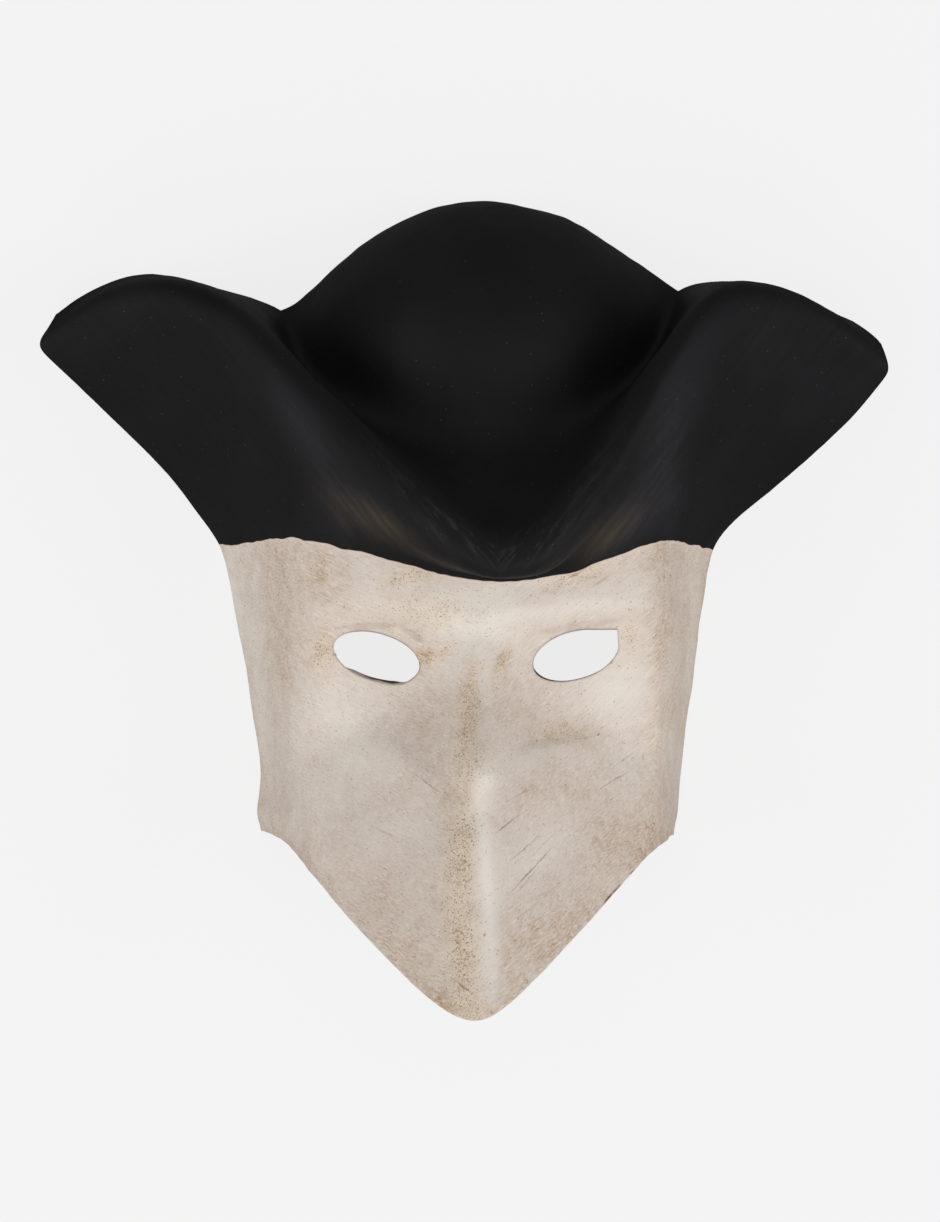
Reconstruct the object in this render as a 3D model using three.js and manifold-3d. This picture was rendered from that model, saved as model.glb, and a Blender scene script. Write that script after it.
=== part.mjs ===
// A bauta mask with a three-cornered hat, moulded in papier-mache as one hollow shell, open at the back and under the chin.
// Millimetres. It lies on its back: +X is the right of the face as the viewer sees it, +Y is up the face, +Z is out of
// its front, and Z = 0 is the plane that the cheek rims and the rim of the crown lie on.
import * as THREE from "three";
import { mergeVertices } from "three/addons/utils/BufferGeometryUtils.js";
import Module from "manifold-3d";

// The mask's own size
const mask = { width: 290, height: 272, depth: 135 };
const wall = 2.4; // papier-mache
const eyeHole = { length: 29, height: 15.5, tilt: 16, apart: 66.2, up: 0 }; // tilt in degrees
const eyeTrim = { lower: 8.2, outer: 13.4 }; // straight cuts: under the left hole, at the outer end of the right one
const backTrim = 3; // the skin runs this far behind the back plane before it is trimmed flat

// The carving below is drawn in millimetres from the point between the eyes on the back plane, and is then stretched to
// the mask's own size. Sides are left and right as the viewer sees them.
const face = {
  foldRound: 13, // how softly the fold between front and temple turns
  cornerUp: -61,
  hatUp: 37,
  foreheadForward: 78,
  foreheadLean: -0.04,
  cheekForward: 70,
  cheekLean: 0.28,
  acrossDrop: 12, // how far the front falls back from the middle to the fold
  browUp: 9,
  browArch: 5,
  browStep: 11,
  socketDepth: 2.5,
};

const prow = {
  bridgeUp: 8,
  bridgeForward: 76,
  chinUp: -114.5,
  chinForward: 134.5,
  chinLean: -0.5, // the chin sits this far off the middle
  flankSlope: 0.9,
  ridgeRound: 6,
  rootRound: 7, // the soft line where the flanks leave the cheeks
  panelProud: 2, // the flat below the nose stands this far forward
  hollowDepth: 4.2, // beside the nose
  chinRound: 11,
  chinSlope: 0.97,
};

const nose = { proud: 4.5, half: 8.5, top: -4, tip: -38, under: -47 };

const hat = {
  front: [6.4, 26.8, 110], // the front corner of the brim
  frontRound: 20,
  valley: [0.6, 73.5, 58], // the foot of the crown at the middle
  crownTop: [3, 157.3, 0],
  crownBelly: 11,
  paintUp: 24.6, // where the brim leaves the forehead, at the middle
  paintRise: 14.4,
  paintMiddle: 5,
  junctionRound: 8,
  valleyLag: 2.2,
  valleyRound: 14,
  troughSag: 5,
};

// The two sides differ a little, as the mould was carved by eye. A fold and a rim are measured out from the middle at
// the chin edge (low) and at the hat (high), and a slope is the temple's rise for each millimetre across.
const halves = [
  {
    side: -1,
    fold: { low: 57, high: 57 },
    rim: { low: 74.2, high: 89, bow: 1.6, flare: 1.5 },
    slope: { low: 3.3, high: 2.06 },
    paintReach: 72,
    edgeArmpit: 1.6,
    edgeBelly: 2.2,
    crestTop: [-108, 122],
    crestBias: 0.85,
    crestSteep: 0,
    shoulder: -80,
    horn: [-149, 105.5, 18],
    back: [[-93, 127, 11], [-111, 130.4, 14], [-129, 125.4, 16]],
    hornBack: [-143, 116.5, 17],
    notch: [-64.8, 118.2, -backTrim],
    crownHalf: 44,
    crownDrop: 16.6,
  },
  {
    side: 1,
    fold: { low: 61, high: 58 },
    rim: { low: 69, high: 82, bow: 1.05, flare: 0.5 },
    slope: { low: 6.5, high: 2.75 },
    paintReach: 62,
    edgeArmpit: 3,
    edgeBelly: -2.7,
    crestTop: [96, 120],
    crestBias: 0.97,
    crestSteep: 0.7,
    shoulder: 84,
    horn: [142, 98.5, 18],
    back: [[92, 128.8, 11], [110, 124.3, 14], [130, 115.8, 16]],
    hornBack: [140.2, 107.5, 17],
    notch: [68.2, 126, -backTrim],
    crownHalf: 45.4,
    crownDrop: 16.3,
  },
];

// Radius of the crest of the brim: at the front corner, at the shoulders and at the horns
const crestRound = { front: 4.8, shoulder: 12.5, horn: 5 };

// How finely the skin is divided
const facets = { middle: 16, wing: 9, face: 17, panel: 4, trough: 4, crown: 8 };
const foldShare = 0.62; // of the way from the middle to the rim, counted in columns
const notchShare = 0.7;

// Small maths
const clamp = (t) => Math.min(1, Math.max(0, t));
const mix = (a, b, t) => a + (b - a) * t;
const ease = (t) => clamp(t) ** 2 * (3 - 2 * clamp(t));
const bump = (t) => Math.exp(-t * t);
const roundedV = (x, r) => Math.hypot(x, r) - r;
const vec = (p) => new THREE.Vector3(...p);

function softMin(a, b, k) {
  const h = clamp(0.5 + (b - a) / (2 * k));
  return mix(b, a, h) - k * h * (1 - h);
}
const softMax = (a, b, k) => -softMin(-a, -b, k);

// The face, as a height over its outline
const halfAt = (side) => halves[side < 0 ? 0 : 1];
const faceShare = (y) => clamp((y - face.cornerUp) / (face.hatUp - face.cornerUp));
const foldAcross = (half, y) => mix(half.fold.low, half.fold.high, faceShare(y));
const sideSlope = (half, y) => mix(half.slope.low, half.slope.high, faceShare(y));
const rimAcross = ({ rim }, y) =>
  mix(rim.low, rim.high, faceShare(y) ** rim.bow) + rim.flare * bump((y - face.cornerUp - 5) / 6);

function prowHeight(x, y) {
  const down = (prow.bridgeUp - y) / (prow.bridgeUp - prow.chinUp);
  const middle = prow.chinLean * ease((down - 0.3) / 0.7);
  const from = Math.abs(x - middle);
  const ridge = mix(prow.bridgeForward, prow.chinForward, down);
  const noseLine = ease((nose.top - y) / (nose.top - nose.tip)) * ease((y - nose.under) / (nose.tip - nose.under));
  const panelTop = -44 + 13 * ease(from / 20) + from * 0.08;
  return (
    ridge -
    prow.flankSlope * roundedV(from, prow.ridgeRound) +
    nose.proud * noseLine * bump(from / nose.half) +
    prow.panelProud * ease((panelTop - y) / 7) -
    prow.hollowDepth * bump((from - 19) / 10) * bump((y + 20) / 11)
  );
}

function faceHeight(x, y) {
  const half = halfAt(x);
  const from = Math.abs(x);
  const browLine = face.browUp + face.browArch * Math.sin(Math.PI * clamp((from - 8) / 70));
  const forehead = face.foreheadForward + face.foreheadLean * (y - face.browUp);
  const cheek = face.cheekForward + face.cheekLean * y;
  const socket = face.socketDepth * bump((from - eyeHole.apart / 2) / 20) * bump((y - 1) / 12);
  const base =
    mix(cheek, forehead, ease((y - browLine) / face.browStep + 0.5)) -
    socket -
    face.acrossDrop * (from / foldAcross(half, y)) ** 2;
  const front = softMax(base, prowHeight(x, y), prow.rootRound);
  const side = (rimAcross(half, y) - from) * sideSlope(half, y);
  return softMin(front, side, face.foldRound);
}

// Across the face at a column and height: evenly to the fold, then down the temple to the rim and past it
function faceAcross(u, y) {
  const half = halfAt(u);
  const s = Math.abs(u);
  const fold = foldAcross(half, y);
  const end = rimAcross(half, y) + backTrim / sideSlope(half, y);
  const out = s <= foldShare ? fold * (s / foldShare) ** 1.1 : mix(fold, end, (s - foldShare) / (1 - foldShare));
  return half.side * out;
}

const chinEdgeUp = (x) =>
  softMin(prow.chinUp + prow.chinSlope * roundedV(x - prow.chinLean, prow.chinRound), face.cornerUp, 7);

const paintUp = (x, half) => hat.paintUp + hat.paintRise * ease(Math.abs(x - hat.paintMiddle) / half.paintReach);

// The height where a column meets a line that is drawn as a height over x
function meet(u, line) {
  let y = 0;
  for (let i = 0; i < 12; i++) y = line(faceAcross(u, y));
  return y;
}

function facePoint(u, y) {
  const x = faceAcross(u, y);
  return new THREE.Vector3(x, y, faceHeight(x, y));
}

// The rails of the hat
function crest(u) {
  const half = halfAt(u);
  const s = Math.abs(u);
  const [x0, y0, z0] = hat.front;
  const [xTop, yTop] = half.crestTop;
  const [xTip, yTip, zTip] = half.horn;
  const x =
    s < notchShare
      ? mix(x0, half.shoulder, (s / notchShare) ** 1.1)
      : mix(half.shoulder, xTip, (s - notchShare) / (1 - notchShare));
  const t = (x - x0) / (xTop - x0);
  const once = ease(Math.max(0, t) ** half.crestBias);
  const past = (x - xTop) / (xTip - xTop);
  const y = past < 0 ? mix(y0, yTop, mix(once, ease(once), half.crestSteep)) : mix(yTop, yTip, past ** 2);
  const slope = (z0 - zTip) / roundedV(xTip - x0, hat.frontRound);
  return new THREE.Vector3(x, y, z0 - slope * roundedV(x - x0, hat.frontRound));
}

// How far round the foot of the crown a column meets it, from the middle to a notch
const valleyTurn = (u) => (Math.PI / 2) * clamp(Math.abs(u) / notchShare) ** hat.valleyLag;

function valley(u) {
  const half = halfAt(u);
  const turn = valleyTurn(u);
  const [x0, y0, z0] = hat.valley;
  const [x1, y1, z1] = half.notch;
  return new THREE.Vector3(
    mix(x0, x1, Math.sin(turn)),
    mix(y0, y1, 1 - Math.sqrt(1 - Math.sin(turn) ** 2.2)),
    mix(z1, z0, Math.cos(turn) ** 0.9),
  );
}

const backEdges = halves.map(
  (half) => new THREE.CatmullRomCurve3([half.notch, ...half.back, half.hornBack].map(vec), false, "catmullrom"),
);
const backEdge = (u) => backEdges[u < 0 ? 0 : 1].getPoint((Math.abs(u) - notchShare) / (1 - notchShare));
const brimBack = (u) => (Math.abs(u) <= notchShare ? valley(u) : backEdge(u));

function crownPoint(u, w) {
  const half = halfAt(u);
  const turn = valleyTurn(u);
  const foot = valley(u);
  const [xTop, yTop] = hat.crownTop;
  const x = xTop + half.side * half.crownHalf * Math.sin(turn);
  const y = yTop - half.crownDrop * Math.sin(turn) ** 2;
  const cap = Math.sqrt(1 - w ** 2.6);
  const belly = hat.crownBelly * Math.cos(turn) * Math.sin(Math.PI * Math.min(1, w * 1.1));
  return new THREE.Vector3(mix(foot.x, x, w), mix(foot.y, y, w), mix(-backTrim, foot.z, cap) + belly);
}

// Points along an arc that turns a corner, with the middle of the arc at the corner itself
function turnCorner(before, corner, after, radius, steps) {
  const back = before.clone().sub(corner);
  const on = after.clone().sub(corner);
  const shorter = Math.min(back.length(), on.length());
  back.normalize();
  on.normalize();
  const half = back.angleTo(on) / 2;
  const r = Math.min(radius, 0.45 * shorter * Math.tan(half));
  const inward = back.clone().add(on).normalize();
  const along = on.clone().sub(back).normalize();
  const centre = corner.clone().addScaledVector(inward, r);
  const points = [];
  for (let i = 0; i <= steps; i++) {
    const turn = (Math.PI / 2 - half) * ((2 * i) / steps - 1);
    points.push(
      centre
        .clone()
        .addScaledVector(inward, -r * Math.cos(turn))
        .addScaledVector(along, r * Math.sin(turn)),
    );
  }
  return points;
}

// The control points of one column of the skin, from the chin edge to the back of the brim or the top of the crown
function column(u) {
  const half = halfAt(u);
  const s = Math.abs(u);
  const low = meet(u, chinEdgeUp);
  const high = meet(u, (x) => paintUp(x, half));
  const points = [];
  const top = high - hat.junctionRound;
  for (let i = 0; i <= facets.face; i++) points.push(facePoint(u, mix(low, top, i / facets.face)));
  const join = facePoint(u, high);
  const peak = crest(u);
  const back = brimBack(u);

  const lower = turnCorner(points.at(-1), join, peak, hat.junctionRound, 2);
  const roundness =
    s < notchShare
      ? mix(crestRound.front, crestRound.shoulder, ease(s / notchShare))
      : mix(crestRound.shoulder, crestRound.horn, (s - notchShare) / (1 - notchShare));
  const over = turnCorner(join, peak, back, roundness, 6);
  points.push(lower[1], lower[2]);

  const chord = peak.clone().sub(join);
  const inward = new THREE.Vector3(-chord.y * half.side, chord.x * half.side, 0).normalize();
  for (let i = 1; i <= facets.panel; i++) {
    const t = i / (facets.panel + 1);
    const bow = (half.edgeArmpit * bump((t - 0.1) / 0.12) + half.edgeBelly * Math.sin(Math.PI * t)) * s ** 4;
    points.push(lower[2].clone().lerp(over[0], t).addScaledVector(inward, bow));
  }
  points.push(...over);

  const inside = s < notchShare + 1e-9;
  const foot = inside ? turnCorner(peak, back, crownPoint(u, 0.3), hat.valleyRound, 2) : [null, back];
  const legEnd = inside ? foot[0] : back;
  const sag = hat.troughSag * Math.cos(valleyTurn(u));
  for (let i = 1; i <= facets.trough; i++) {
    const t = i / (facets.trough + 1);
    const p = over.at(-1).clone().lerp(legEnd, t);
    p.z -= sag * Math.sin(Math.PI * t);
    points.push(p);
  }
  if (inside) points.push(foot[0]);
  else points.push(over.at(-1).clone().lerp(legEnd, 0.93));
  points.push(inside ? foot[1] : back);
  if (inside)
    for (let i = 1; i <= facets.crown; i++) points.push(crownPoint(u, Math.sin((Math.PI / 2) * (i / facets.crown))));
  return points;
}

// Eases a column's corners, as a cubic spline through its control points does, with its two ends left where they are
function eased(points) {
  return points.map((p, i) =>
    i === 0 || i === points.length - 1
      ? p.clone()
      : p.clone().multiplyScalar(4).add(points[i - 1]).add(points[i + 1]).divideScalar(6),
  );
}

// The outer skin as a sheet of quads: its points, and the four corners of each quad
function skin() {
  const shares = [];
  for (let i = facets.wing; i > 0; i--) shares.push(-notchShare - ((1 - notchShare) * i) / facets.wing);
  for (let i = -facets.middle; i <= facets.middle; i++) shares.push((notchShare * i) / facets.middle);
  for (let i = 1; i <= facets.wing; i++) shares.push(notchShare + ((1 - notchShare) * i) / facets.wing);

  const points = [];
  const grid = shares.map((u) => {
    return eased(column(u)).map((p) => points.push(p) - 1);
  });
  const size = new THREE.Box3().setFromPoints(points).getSize(new THREE.Vector3());
  const stretch = new THREE.Vector3(mask.width / size.x, mask.height / size.y, mask.depth / (size.z - backTrim));
  for (const p of points) p.multiply(stretch);
  const quads = [];
  for (let c = 0; c + 1 < grid.length; c++) {
    const rows = Math.min(grid[c].length, grid[c + 1].length);
    for (let r = 0; r + 1 < rows; r++) quads.push([grid[c][r], grid[c + 1][r], grid[c + 1][r + 1], grid[c][r + 1]]);
  }
  return { points, grid, quads, stretch };
}

// Gives the skin a wall behind it, and closes it round its edges. Behind a sharp crest the paper bridges the corner, so
// the inner sheet is eased there, wherever that leaves the wall thicker.
function thicken(points, grid, quads, thickness) {
  const normals = points.map(() => new THREE.Vector3());
  for (const quad of quads) {
    const [a, b, c, d] = quad.map((i) => points[i]);
    const normal = c.clone().sub(a).cross(d.clone().sub(b));
    for (const i of quad) normals[i].add(normal);
  }
  const inner = points.map((p, i) => p.clone().addScaledVector(normals[i].normalize(), -thickness));
  for (let pass = 0; pass < 4; pass++)
    for (const line of grid) {
      const bridged = eased(line.map((i) => inner[i]));
      line.forEach((i, k) => {
        if (bridged[k].distanceTo(points[i]) > thickness) inner[i] = bridged[k];
      });
    }
  const count = points.length;
  const vertices = [...points, ...inner].flatMap((p) => p.toArray());
  const faces = [];
  const edges = new Map();
  for (const [a, b, c, d] of quads) {
    faces.push(a, b, c, a, c, d, a + count, c + count, b + count, a + count, d + count, c + count);
    for (const [from, to] of [[a, b], [b, c], [c, d], [d, a]]) {
      if (!edges.delete(`${to} ${from}`)) edges.set(`${from} ${to}`, [from, to]);
    }
  }
  for (const [from, to] of edges.values()) faces.push(from, from + count, to, to, from + count, to + count);
  const geometry = new THREE.BufferGeometry();
  geometry.setAttribute("position", new THREE.Float32BufferAttribute(vertices, 3));
  geometry.setIndex(faces);
  return geometry;
}

// Booleans
const wasm = await Module();
wasm.setup();

function solidOf(geometry) {
  const bare = geometry.clone();
  bare.deleteAttribute("normal");
  bare.deleteAttribute("uv");
  const merged = mergeVertices(bare, 1e-4);
  return new wasm.Manifold(
    new wasm.Mesh({
      numProp: 3,
      vertProperties: merged.attributes.position.array,
      triVerts: new Uint32Array(merged.index.array),
    }),
  );
}

function geometryOf(solid) {
  const { vertProperties, triVerts } = solid.getMesh();
  const geometry = new THREE.BufferGeometry();
  geometry.setAttribute("position", new THREE.BufferAttribute(vertProperties, 3));
  geometry.setIndex(new THREE.BufferAttribute(triVerts, 1));
  geometry.computeVertexNormals();
  return geometry;
}

// A prism that cuts one eye hole square to the cheek, with the straight cut that the knife left on it
function eyeCutter(side, stretch) {
  const outline = new THREE.Shape();
  const a = eyeHole.length / 2;
  const b = eyeHole.height / 2;
  const steps = 40;
  const tilt = THREE.MathUtils.degToRad(eyeHole.tilt) * side;
  for (let i = 0; i < steps; i++) {
    const turn = (2 * Math.PI * i) / steps;
    let x = a * Math.cos(turn) * Math.cos(tilt) - b * Math.sin(turn) * Math.sin(tilt);
    let y = a * Math.cos(turn) * Math.sin(tilt) + b * Math.sin(turn);
    if (side > 0) x = Math.min(x, eyeTrim.outer);
    else y = Math.max(y, -eyeTrim.lower - 0.12 * x);
    if (i === 0) outline.moveTo(x, y);
    else outline.lineTo(x, y);
  }
  outline.closePath();
  const depth = 60;
  const prism = new THREE.ExtrudeGeometry(outline, { depth, bevelEnabled: false });
  prism.translate(0, 0, -depth / 2);
  const x = (side * eyeHole.apart) / 2;
  const y = eyeHole.up;
  const step = 4;
  const lift = (dx, dy) => faceHeight(x + dx, y + dy);
  const normal = new THREE.Vector3(
    (lift(-step, 0) - lift(step, 0)) / (2 * step),
    (lift(0, -step) - lift(0, step)) / (2 * step),
    1,
  ).normalize();
  prism.applyQuaternion(new THREE.Quaternion().setFromUnitVectors(new THREE.Vector3(0, 0, 1), normal));
  prism.translate(x * stretch.x, y * stretch.y, lift(0, 0) * stretch.z);
  return solidOf(prism);
}

function maskShell() {
  const below = new THREE.BoxGeometry(2 * mask.width, 2 * mask.height, 100).translate(0, 0, -50);
  const { points, grid, quads, stretch } = skin();
  let solid = solidOf(thicken(points, grid, quads, wall)).subtract(solidOf(below));
  for (const side of [-1, 1]) solid = solid.subtract(eyeCutter(side, stretch));
  return geometryOf(solid);
}

const shell = new THREE.Mesh(
  maskShell(),
  new THREE.MeshStandardMaterial({ color: 0xd8cbbb, roughness: 0.62, metalness: 0 }),
);
shell.name = "mask_shell";
shell.geometry.computeBoundingBox();
const box = shell.geometry.boundingBox;
shell.position.set(-(box.min.x + box.max.x) / 2, -(box.min.y + box.max.y) / 2, -box.min.z);

const bauta = new THREE.Group();
bauta.add(shell);
export default bauta;
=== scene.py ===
import math

import bpy
import numpy as np
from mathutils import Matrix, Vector


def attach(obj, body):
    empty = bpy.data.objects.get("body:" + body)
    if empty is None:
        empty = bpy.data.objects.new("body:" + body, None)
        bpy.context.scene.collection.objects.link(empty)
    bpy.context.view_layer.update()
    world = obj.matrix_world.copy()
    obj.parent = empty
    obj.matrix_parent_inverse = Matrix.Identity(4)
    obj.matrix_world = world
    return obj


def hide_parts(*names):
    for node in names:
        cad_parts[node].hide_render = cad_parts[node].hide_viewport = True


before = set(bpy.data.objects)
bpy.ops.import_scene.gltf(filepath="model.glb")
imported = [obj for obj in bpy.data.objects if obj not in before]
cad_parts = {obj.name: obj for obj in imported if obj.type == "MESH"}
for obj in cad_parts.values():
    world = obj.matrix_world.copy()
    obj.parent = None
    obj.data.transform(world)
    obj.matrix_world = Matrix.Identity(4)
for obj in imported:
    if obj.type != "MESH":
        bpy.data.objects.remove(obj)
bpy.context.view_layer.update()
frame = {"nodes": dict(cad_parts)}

print("frame:", ", ".join(frame["nodes"]))

# The mask is worked out in millimetres from the point between the eyes on the back plane, X to the right as
# the viewer sees it, Y up the face and Z out of its front, and is then moved to its place in the frame.
mm = 0.001
frameShift = np.array([3.38, -20.67, 0])

eyeHole = {
    "length": 29.8,
    "height": 15.5,
    "tilt": 16,  # degrees, outer end up
    "apart": 66.2,
    "up": (-1, -0.4),  # the left one and the right one
    "outline": 720,  # points round it
}
# Where the knife ran past the ellipse: to a point under the left hole, and to a square corner at the right
# one's outer end
eyeTrim = {"point": (8.7, -8.9), "run": 9, "back": 4, "corner": (14.1, 8.6), "end": 3.8, "squareFrom": 4}

# The forehead and the cheeks, how far forward they stand and lean, and the folds where the sides turn back
face = {
    "foldRound": 16,
    "cornerUp": -61,
    "hatUp": 37,
    "foreheadForward": 78,
    "foreheadLean": -0.04,
    "cheekForward": 70,
    "cheekLean": 0.28,
    "acrossDrop": 15,
    "browUp": 9,
    "browArch": 5,
    "browFrom": 8,
    "browLong": 70,
    "browStep": 11,
    "socketDepth": 2.5,
    "socketUp": 1,
    "socketSize": (20, 12),
    "flareUp": 5,  # the rims turn out a little, this far above the corners
    "flareSize": 6,
    "cornerDrop": (1.3, 2.8),  # left and right, how far the cut edge runs under the corners
    "cornerSoft": 8,
}

# The prow juts from between the eyes down to the chin, and the nose is a low swelling on its ridge
prow = {
    "bridgeUp": 8,
    "bridgeForward": 76,
    "chinUp": -114.5,
    "chinForward": 134.5,
    "chinLean": -0.5,
    "leanFrom": 0.3,  # share of the way down
    "flankSlope": 0.9,
    "ridgeRound": (4, 10),  # at the bridge and at the chin
    "roundFrom": 0.35,
    "rootRound": 7,
    "chinRound": (15, 11),  # left and right
    "chinWide": 20,
    "bridgeDip": 4.2,  # the line of the nose starts flat and then steepens
    "bridgeDipUp": -13,
    "bridgeDipSize": 15,
}

nose = {"proud": 2.6, "half": 7, "top": 2, "tip": (2, -39), "under": -52, "ball": 1.1, "ballSize": 6}

# Worn forms beside the nose: steps from one point to another, each with how proud its lower side is, how soft
# it is and how far it reaches, and shallow hollows
creaseFade = 0.3
creases = [
    {"start": (-31, -24), "end": (-7, -46), "proud": 1.2, "soft": 7, "reach": 15},
    {"start": (9, -31), "end": (44, -26.5), "proud": 1.3, "soft": 3, "reach": 14},
]
hollows = [
    {"at": (-12, -26), "size": (10, 13), "depth": 2.6},
    {"at": (22, -23), "size": (18, 8), "depth": 1.6},
]

# The brim's front, the trough behind it, the crown, and the line where the black paint starts
hat = {
    "front": (7, 27.4, 110),
    "frontRound": 20,
    "valley": (0.6, 73.5, 58),
    "crownTop": (3, 157.1, 0),
    "crownBelly": 11,
    "paintUp": 26.2,
    "paintMiddle": 9,
    "paintDip": 2.6,
    "paintDipFrom": 62,
    "paintDipRun": 20,
    "junctionRound": 8,
    "joinBelow": 0.75,  # the face's own rows end this share of that roundness below the line
    "valleyLag": 2.2,
    "valleyCurl": 2.2,
    "valleyRise": 0.9,
    "valleyRound": 14,
    "troughSag": 5,
    "crownFoot": 0.3,  # share of the crown's height where its foot has turned up into it
    "crownFull": 2.6,
    "crownBellyLow": 1.1,
    "panelBulge": 3.4,  # the panels round over towards the crests
    "bulgeHigh": 1.7,
    "bulgeFrom": (0.05, 0.2),  # share of the way out, and over how much of it
    "bulgeTo": (0.95, 0.4),
    "armpitUp": (0.1, 0.12),  # share of the edge's height
    "edgeOnly": 4,  # how close to the edge its own line holds, as a power
}

# The two sides as the viewer sees them, which the maker's hand left unlike
left = {
    "side": -1,
    "fold": (57, 57),
    "rim": (74.2, 89),
    "rimBow": 1.6,
    "flare": 1.5,
    "slope": (3.3, 2.06),
    "paintReach": 80,
    "paintRise": 13.5,
    "paintTurn": 1,
    "edgeArmpit": 2.2,
    "edgeBelly": 3.1,
    "edgeTwist": 0.2,
    "crestTop": (-108, 123.4),
    "crestBias": 0.85,
    "crestSteep": 0,
    "shoulder": -80,
    "horn": (-150, 105, 18),
    "back": [(-92, 126.7, 11), (-111.5, 130.9, 14), (-129, 126.5, 16)],
    "hornBack": (-144.6, 116.6, 17),
    "notch": (-65.2, 119.4, 0),
    "crownHalf": 44.1,
    "crownDrop": 16.6,
}

right = {
    "side": 1,
    "fold": (61, 58),
    "rim": (69, 82),
    "rimBow": 1.05,
    "flare": 0.5,
    "slope": (6.5, 2.75),
    "paintReach": 58,
    "paintRise": 12.1,
    "paintTurn": 1.4,
    "edgeArmpit": 4.2,
    "edgeBelly": -2.3,
    "edgeTwist": 0.8,
    "crestTop": (96, 121),
    "crestBias": 0.97,
    "crestSteep": 0.7,
    "shoulder": 84,
    "horn": (142, 96.3, 18),
    "back": [(90, 128.6, 11), (109.5, 122.3, 14), (129.8, 115, 16)],
    "hornBack": (139.5, 106.3, 17),
    "notch": (68.2, 127.6, 0),
    "crownHalf": 45.4,
    "crownDrop": 16.3,
}

crestRound = {"front": 4.8, "shoulder": 12.5, "horn": 5}  # how round the crest is along its way out

shell = {
    "wall": 2.4,
    "edgeRound": 0.5,  # radius on every cut edge
    "unevenness": 0.28,  # how far the hand-laid paper strays from the mould
    "unevenSize": 22,
    "wallStray": 0.25,
    "bridgePasses": 120,
}

# The knife leaned under the eyes, so some of the edge shows there, and under the left one it stayed bare
leaned = {
    "shows": (1.15, 0.25),  # left and right
    "under": -3.7,
    "underRun": 3,
    "from": -22,
    "fromRun": 5,
    "bareFrom": -40,
    "bareRun": 6,
}

# How finely the skin is divided, and what share of the way out the face's fold and the hat's notch lie at
detail = {
    "middle": 76,
    "wing": 34,
    "face": 92,
    "junction": 6,
    "panel": 18,
    "crest": 14,
    "trough": 18,
    "valley": 8,
    "crown": 30,
}
foldShare = 0.62
notchShare = 0.7
gather = 1.1  # the columns lie a little closer together at the middle

# How often parts of the grid are eased
easing = {"hat": 26, "hatAcrossFrom": 9, "panel": 50, "panelShare": 0.75, "eyeRim": 60, "eyeGrid": 14}
eyeGrid = {"around": 24, "reach": 17, "step": 0.6}


def clamp(t):
    return np.clip(t, 0, 1)


def mix(a, b, t):
    return a + (b - a) * t


def ease(t):
    t = clamp(t)
    return t * t * (3 - 2 * t)


def bump(t):
    return np.exp(-t * t)


def roundedV(x, r):
    return np.hypot(x, r) - r


def softMin(a, b, k):
    h = clamp(0.5 + (b - a) / (2 * k))
    return mix(b, a, h) - k * h * (1 - h)


def softMax(a, b, k):
    return -softMin(-a, -b, k)


def unit(v):
    return v / np.maximum(np.linalg.norm(v, axis=-1, keepdims=True), 1e-12)


def halfValue(x, name, place=None):
    a, b = (left[name], right[name]) if place is None else (left[name][place], right[name][place])
    return np.where(x < 0, a, b)


# The face, as a height over its outline

def faceShare(y):
    return clamp((y - face["cornerUp"]) / (face["hatUp"] - face["cornerUp"]))


def foldAcross(side, y):
    return mix(halfValue(side, "fold", 0), halfValue(side, "fold", 1), faceShare(y))


def sideSlope(side, y):
    return mix(halfValue(side, "slope", 0), halfValue(side, "slope", 1), faceShare(y))


def rimAcross(side, y):
    bow = faceShare(y) ** halfValue(side, "rimBow")
    flare = halfValue(side, "flare") * bump((y - face["cornerUp"] - face["flareUp"]) / face["flareSize"])
    return mix(halfValue(side, "rim", 0), halfValue(side, "rim", 1), bow) + flare


def creaseStep(x, y, crease):
    # a step along a line, gone again at its ends and some way below it
    (x0, y0), (x1, y1) = crease["start"], crease["end"]
    long = math.hypot(x1 - x0, y1 - y0)
    alongX, alongY = (x1 - x0) / long, (y1 - y0) / long
    share = ((x - x0) * alongX + (y - y0) * alongY) / long
    below = (x - x0) * alongY - (y - y0) * alongX
    window = ease(share / creaseFade) * ease((1 - share) / creaseFade)
    step = ease(below / crease["soft"] + 0.5) * bump(np.maximum(below, 0) / crease["reach"])
    return crease["proud"] * window * step


def prowHeight(x, y):
    down = (prow["bridgeUp"] - y) / (prow["bridgeUp"] - prow["chinUp"])
    middle = prow["chinLean"] * ease((down - prow["leanFrom"]) / (1 - prow["leanFrom"]))
    apart = np.abs(x - middle)
    ridge = mix(prow["bridgeForward"], prow["chinForward"], down)
    roundness = mix(*prow["ridgeRound"], ease((down - prow["roundFrom"]) / (1 - prow["roundFrom"])))
    tipX, tipY = nose["tip"]
    toTip = ease((nose["top"] - y) / (nose["top"] - tipY))
    noseLine = toTip * ease((y - nose["under"]) / (tipY - nose["under"]))
    dip = prow["bridgeDip"] * bump((y - prow["bridgeDipUp"]) / prow["bridgeDipSize"])
    height = ridge - dip - prow["flankSlope"] * roundedV(apart, roundness)
    height = height + nose["proud"] * noseLine * bump(apart / nose["half"])
    height = height + nose["ball"] * bump(np.hypot(x - tipX, y - tipY) / nose["ballSize"])
    for crease in creases:
        height = height + creaseStep(x, y, crease)
    for hollow in hollows:
        offX = (x - hollow["at"][0]) / hollow["size"][0]
        offY = (y - hollow["at"][1]) / hollow["size"][1]
        height = height - hollow["depth"] * bump(np.hypot(offX, offY))
    return height


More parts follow.
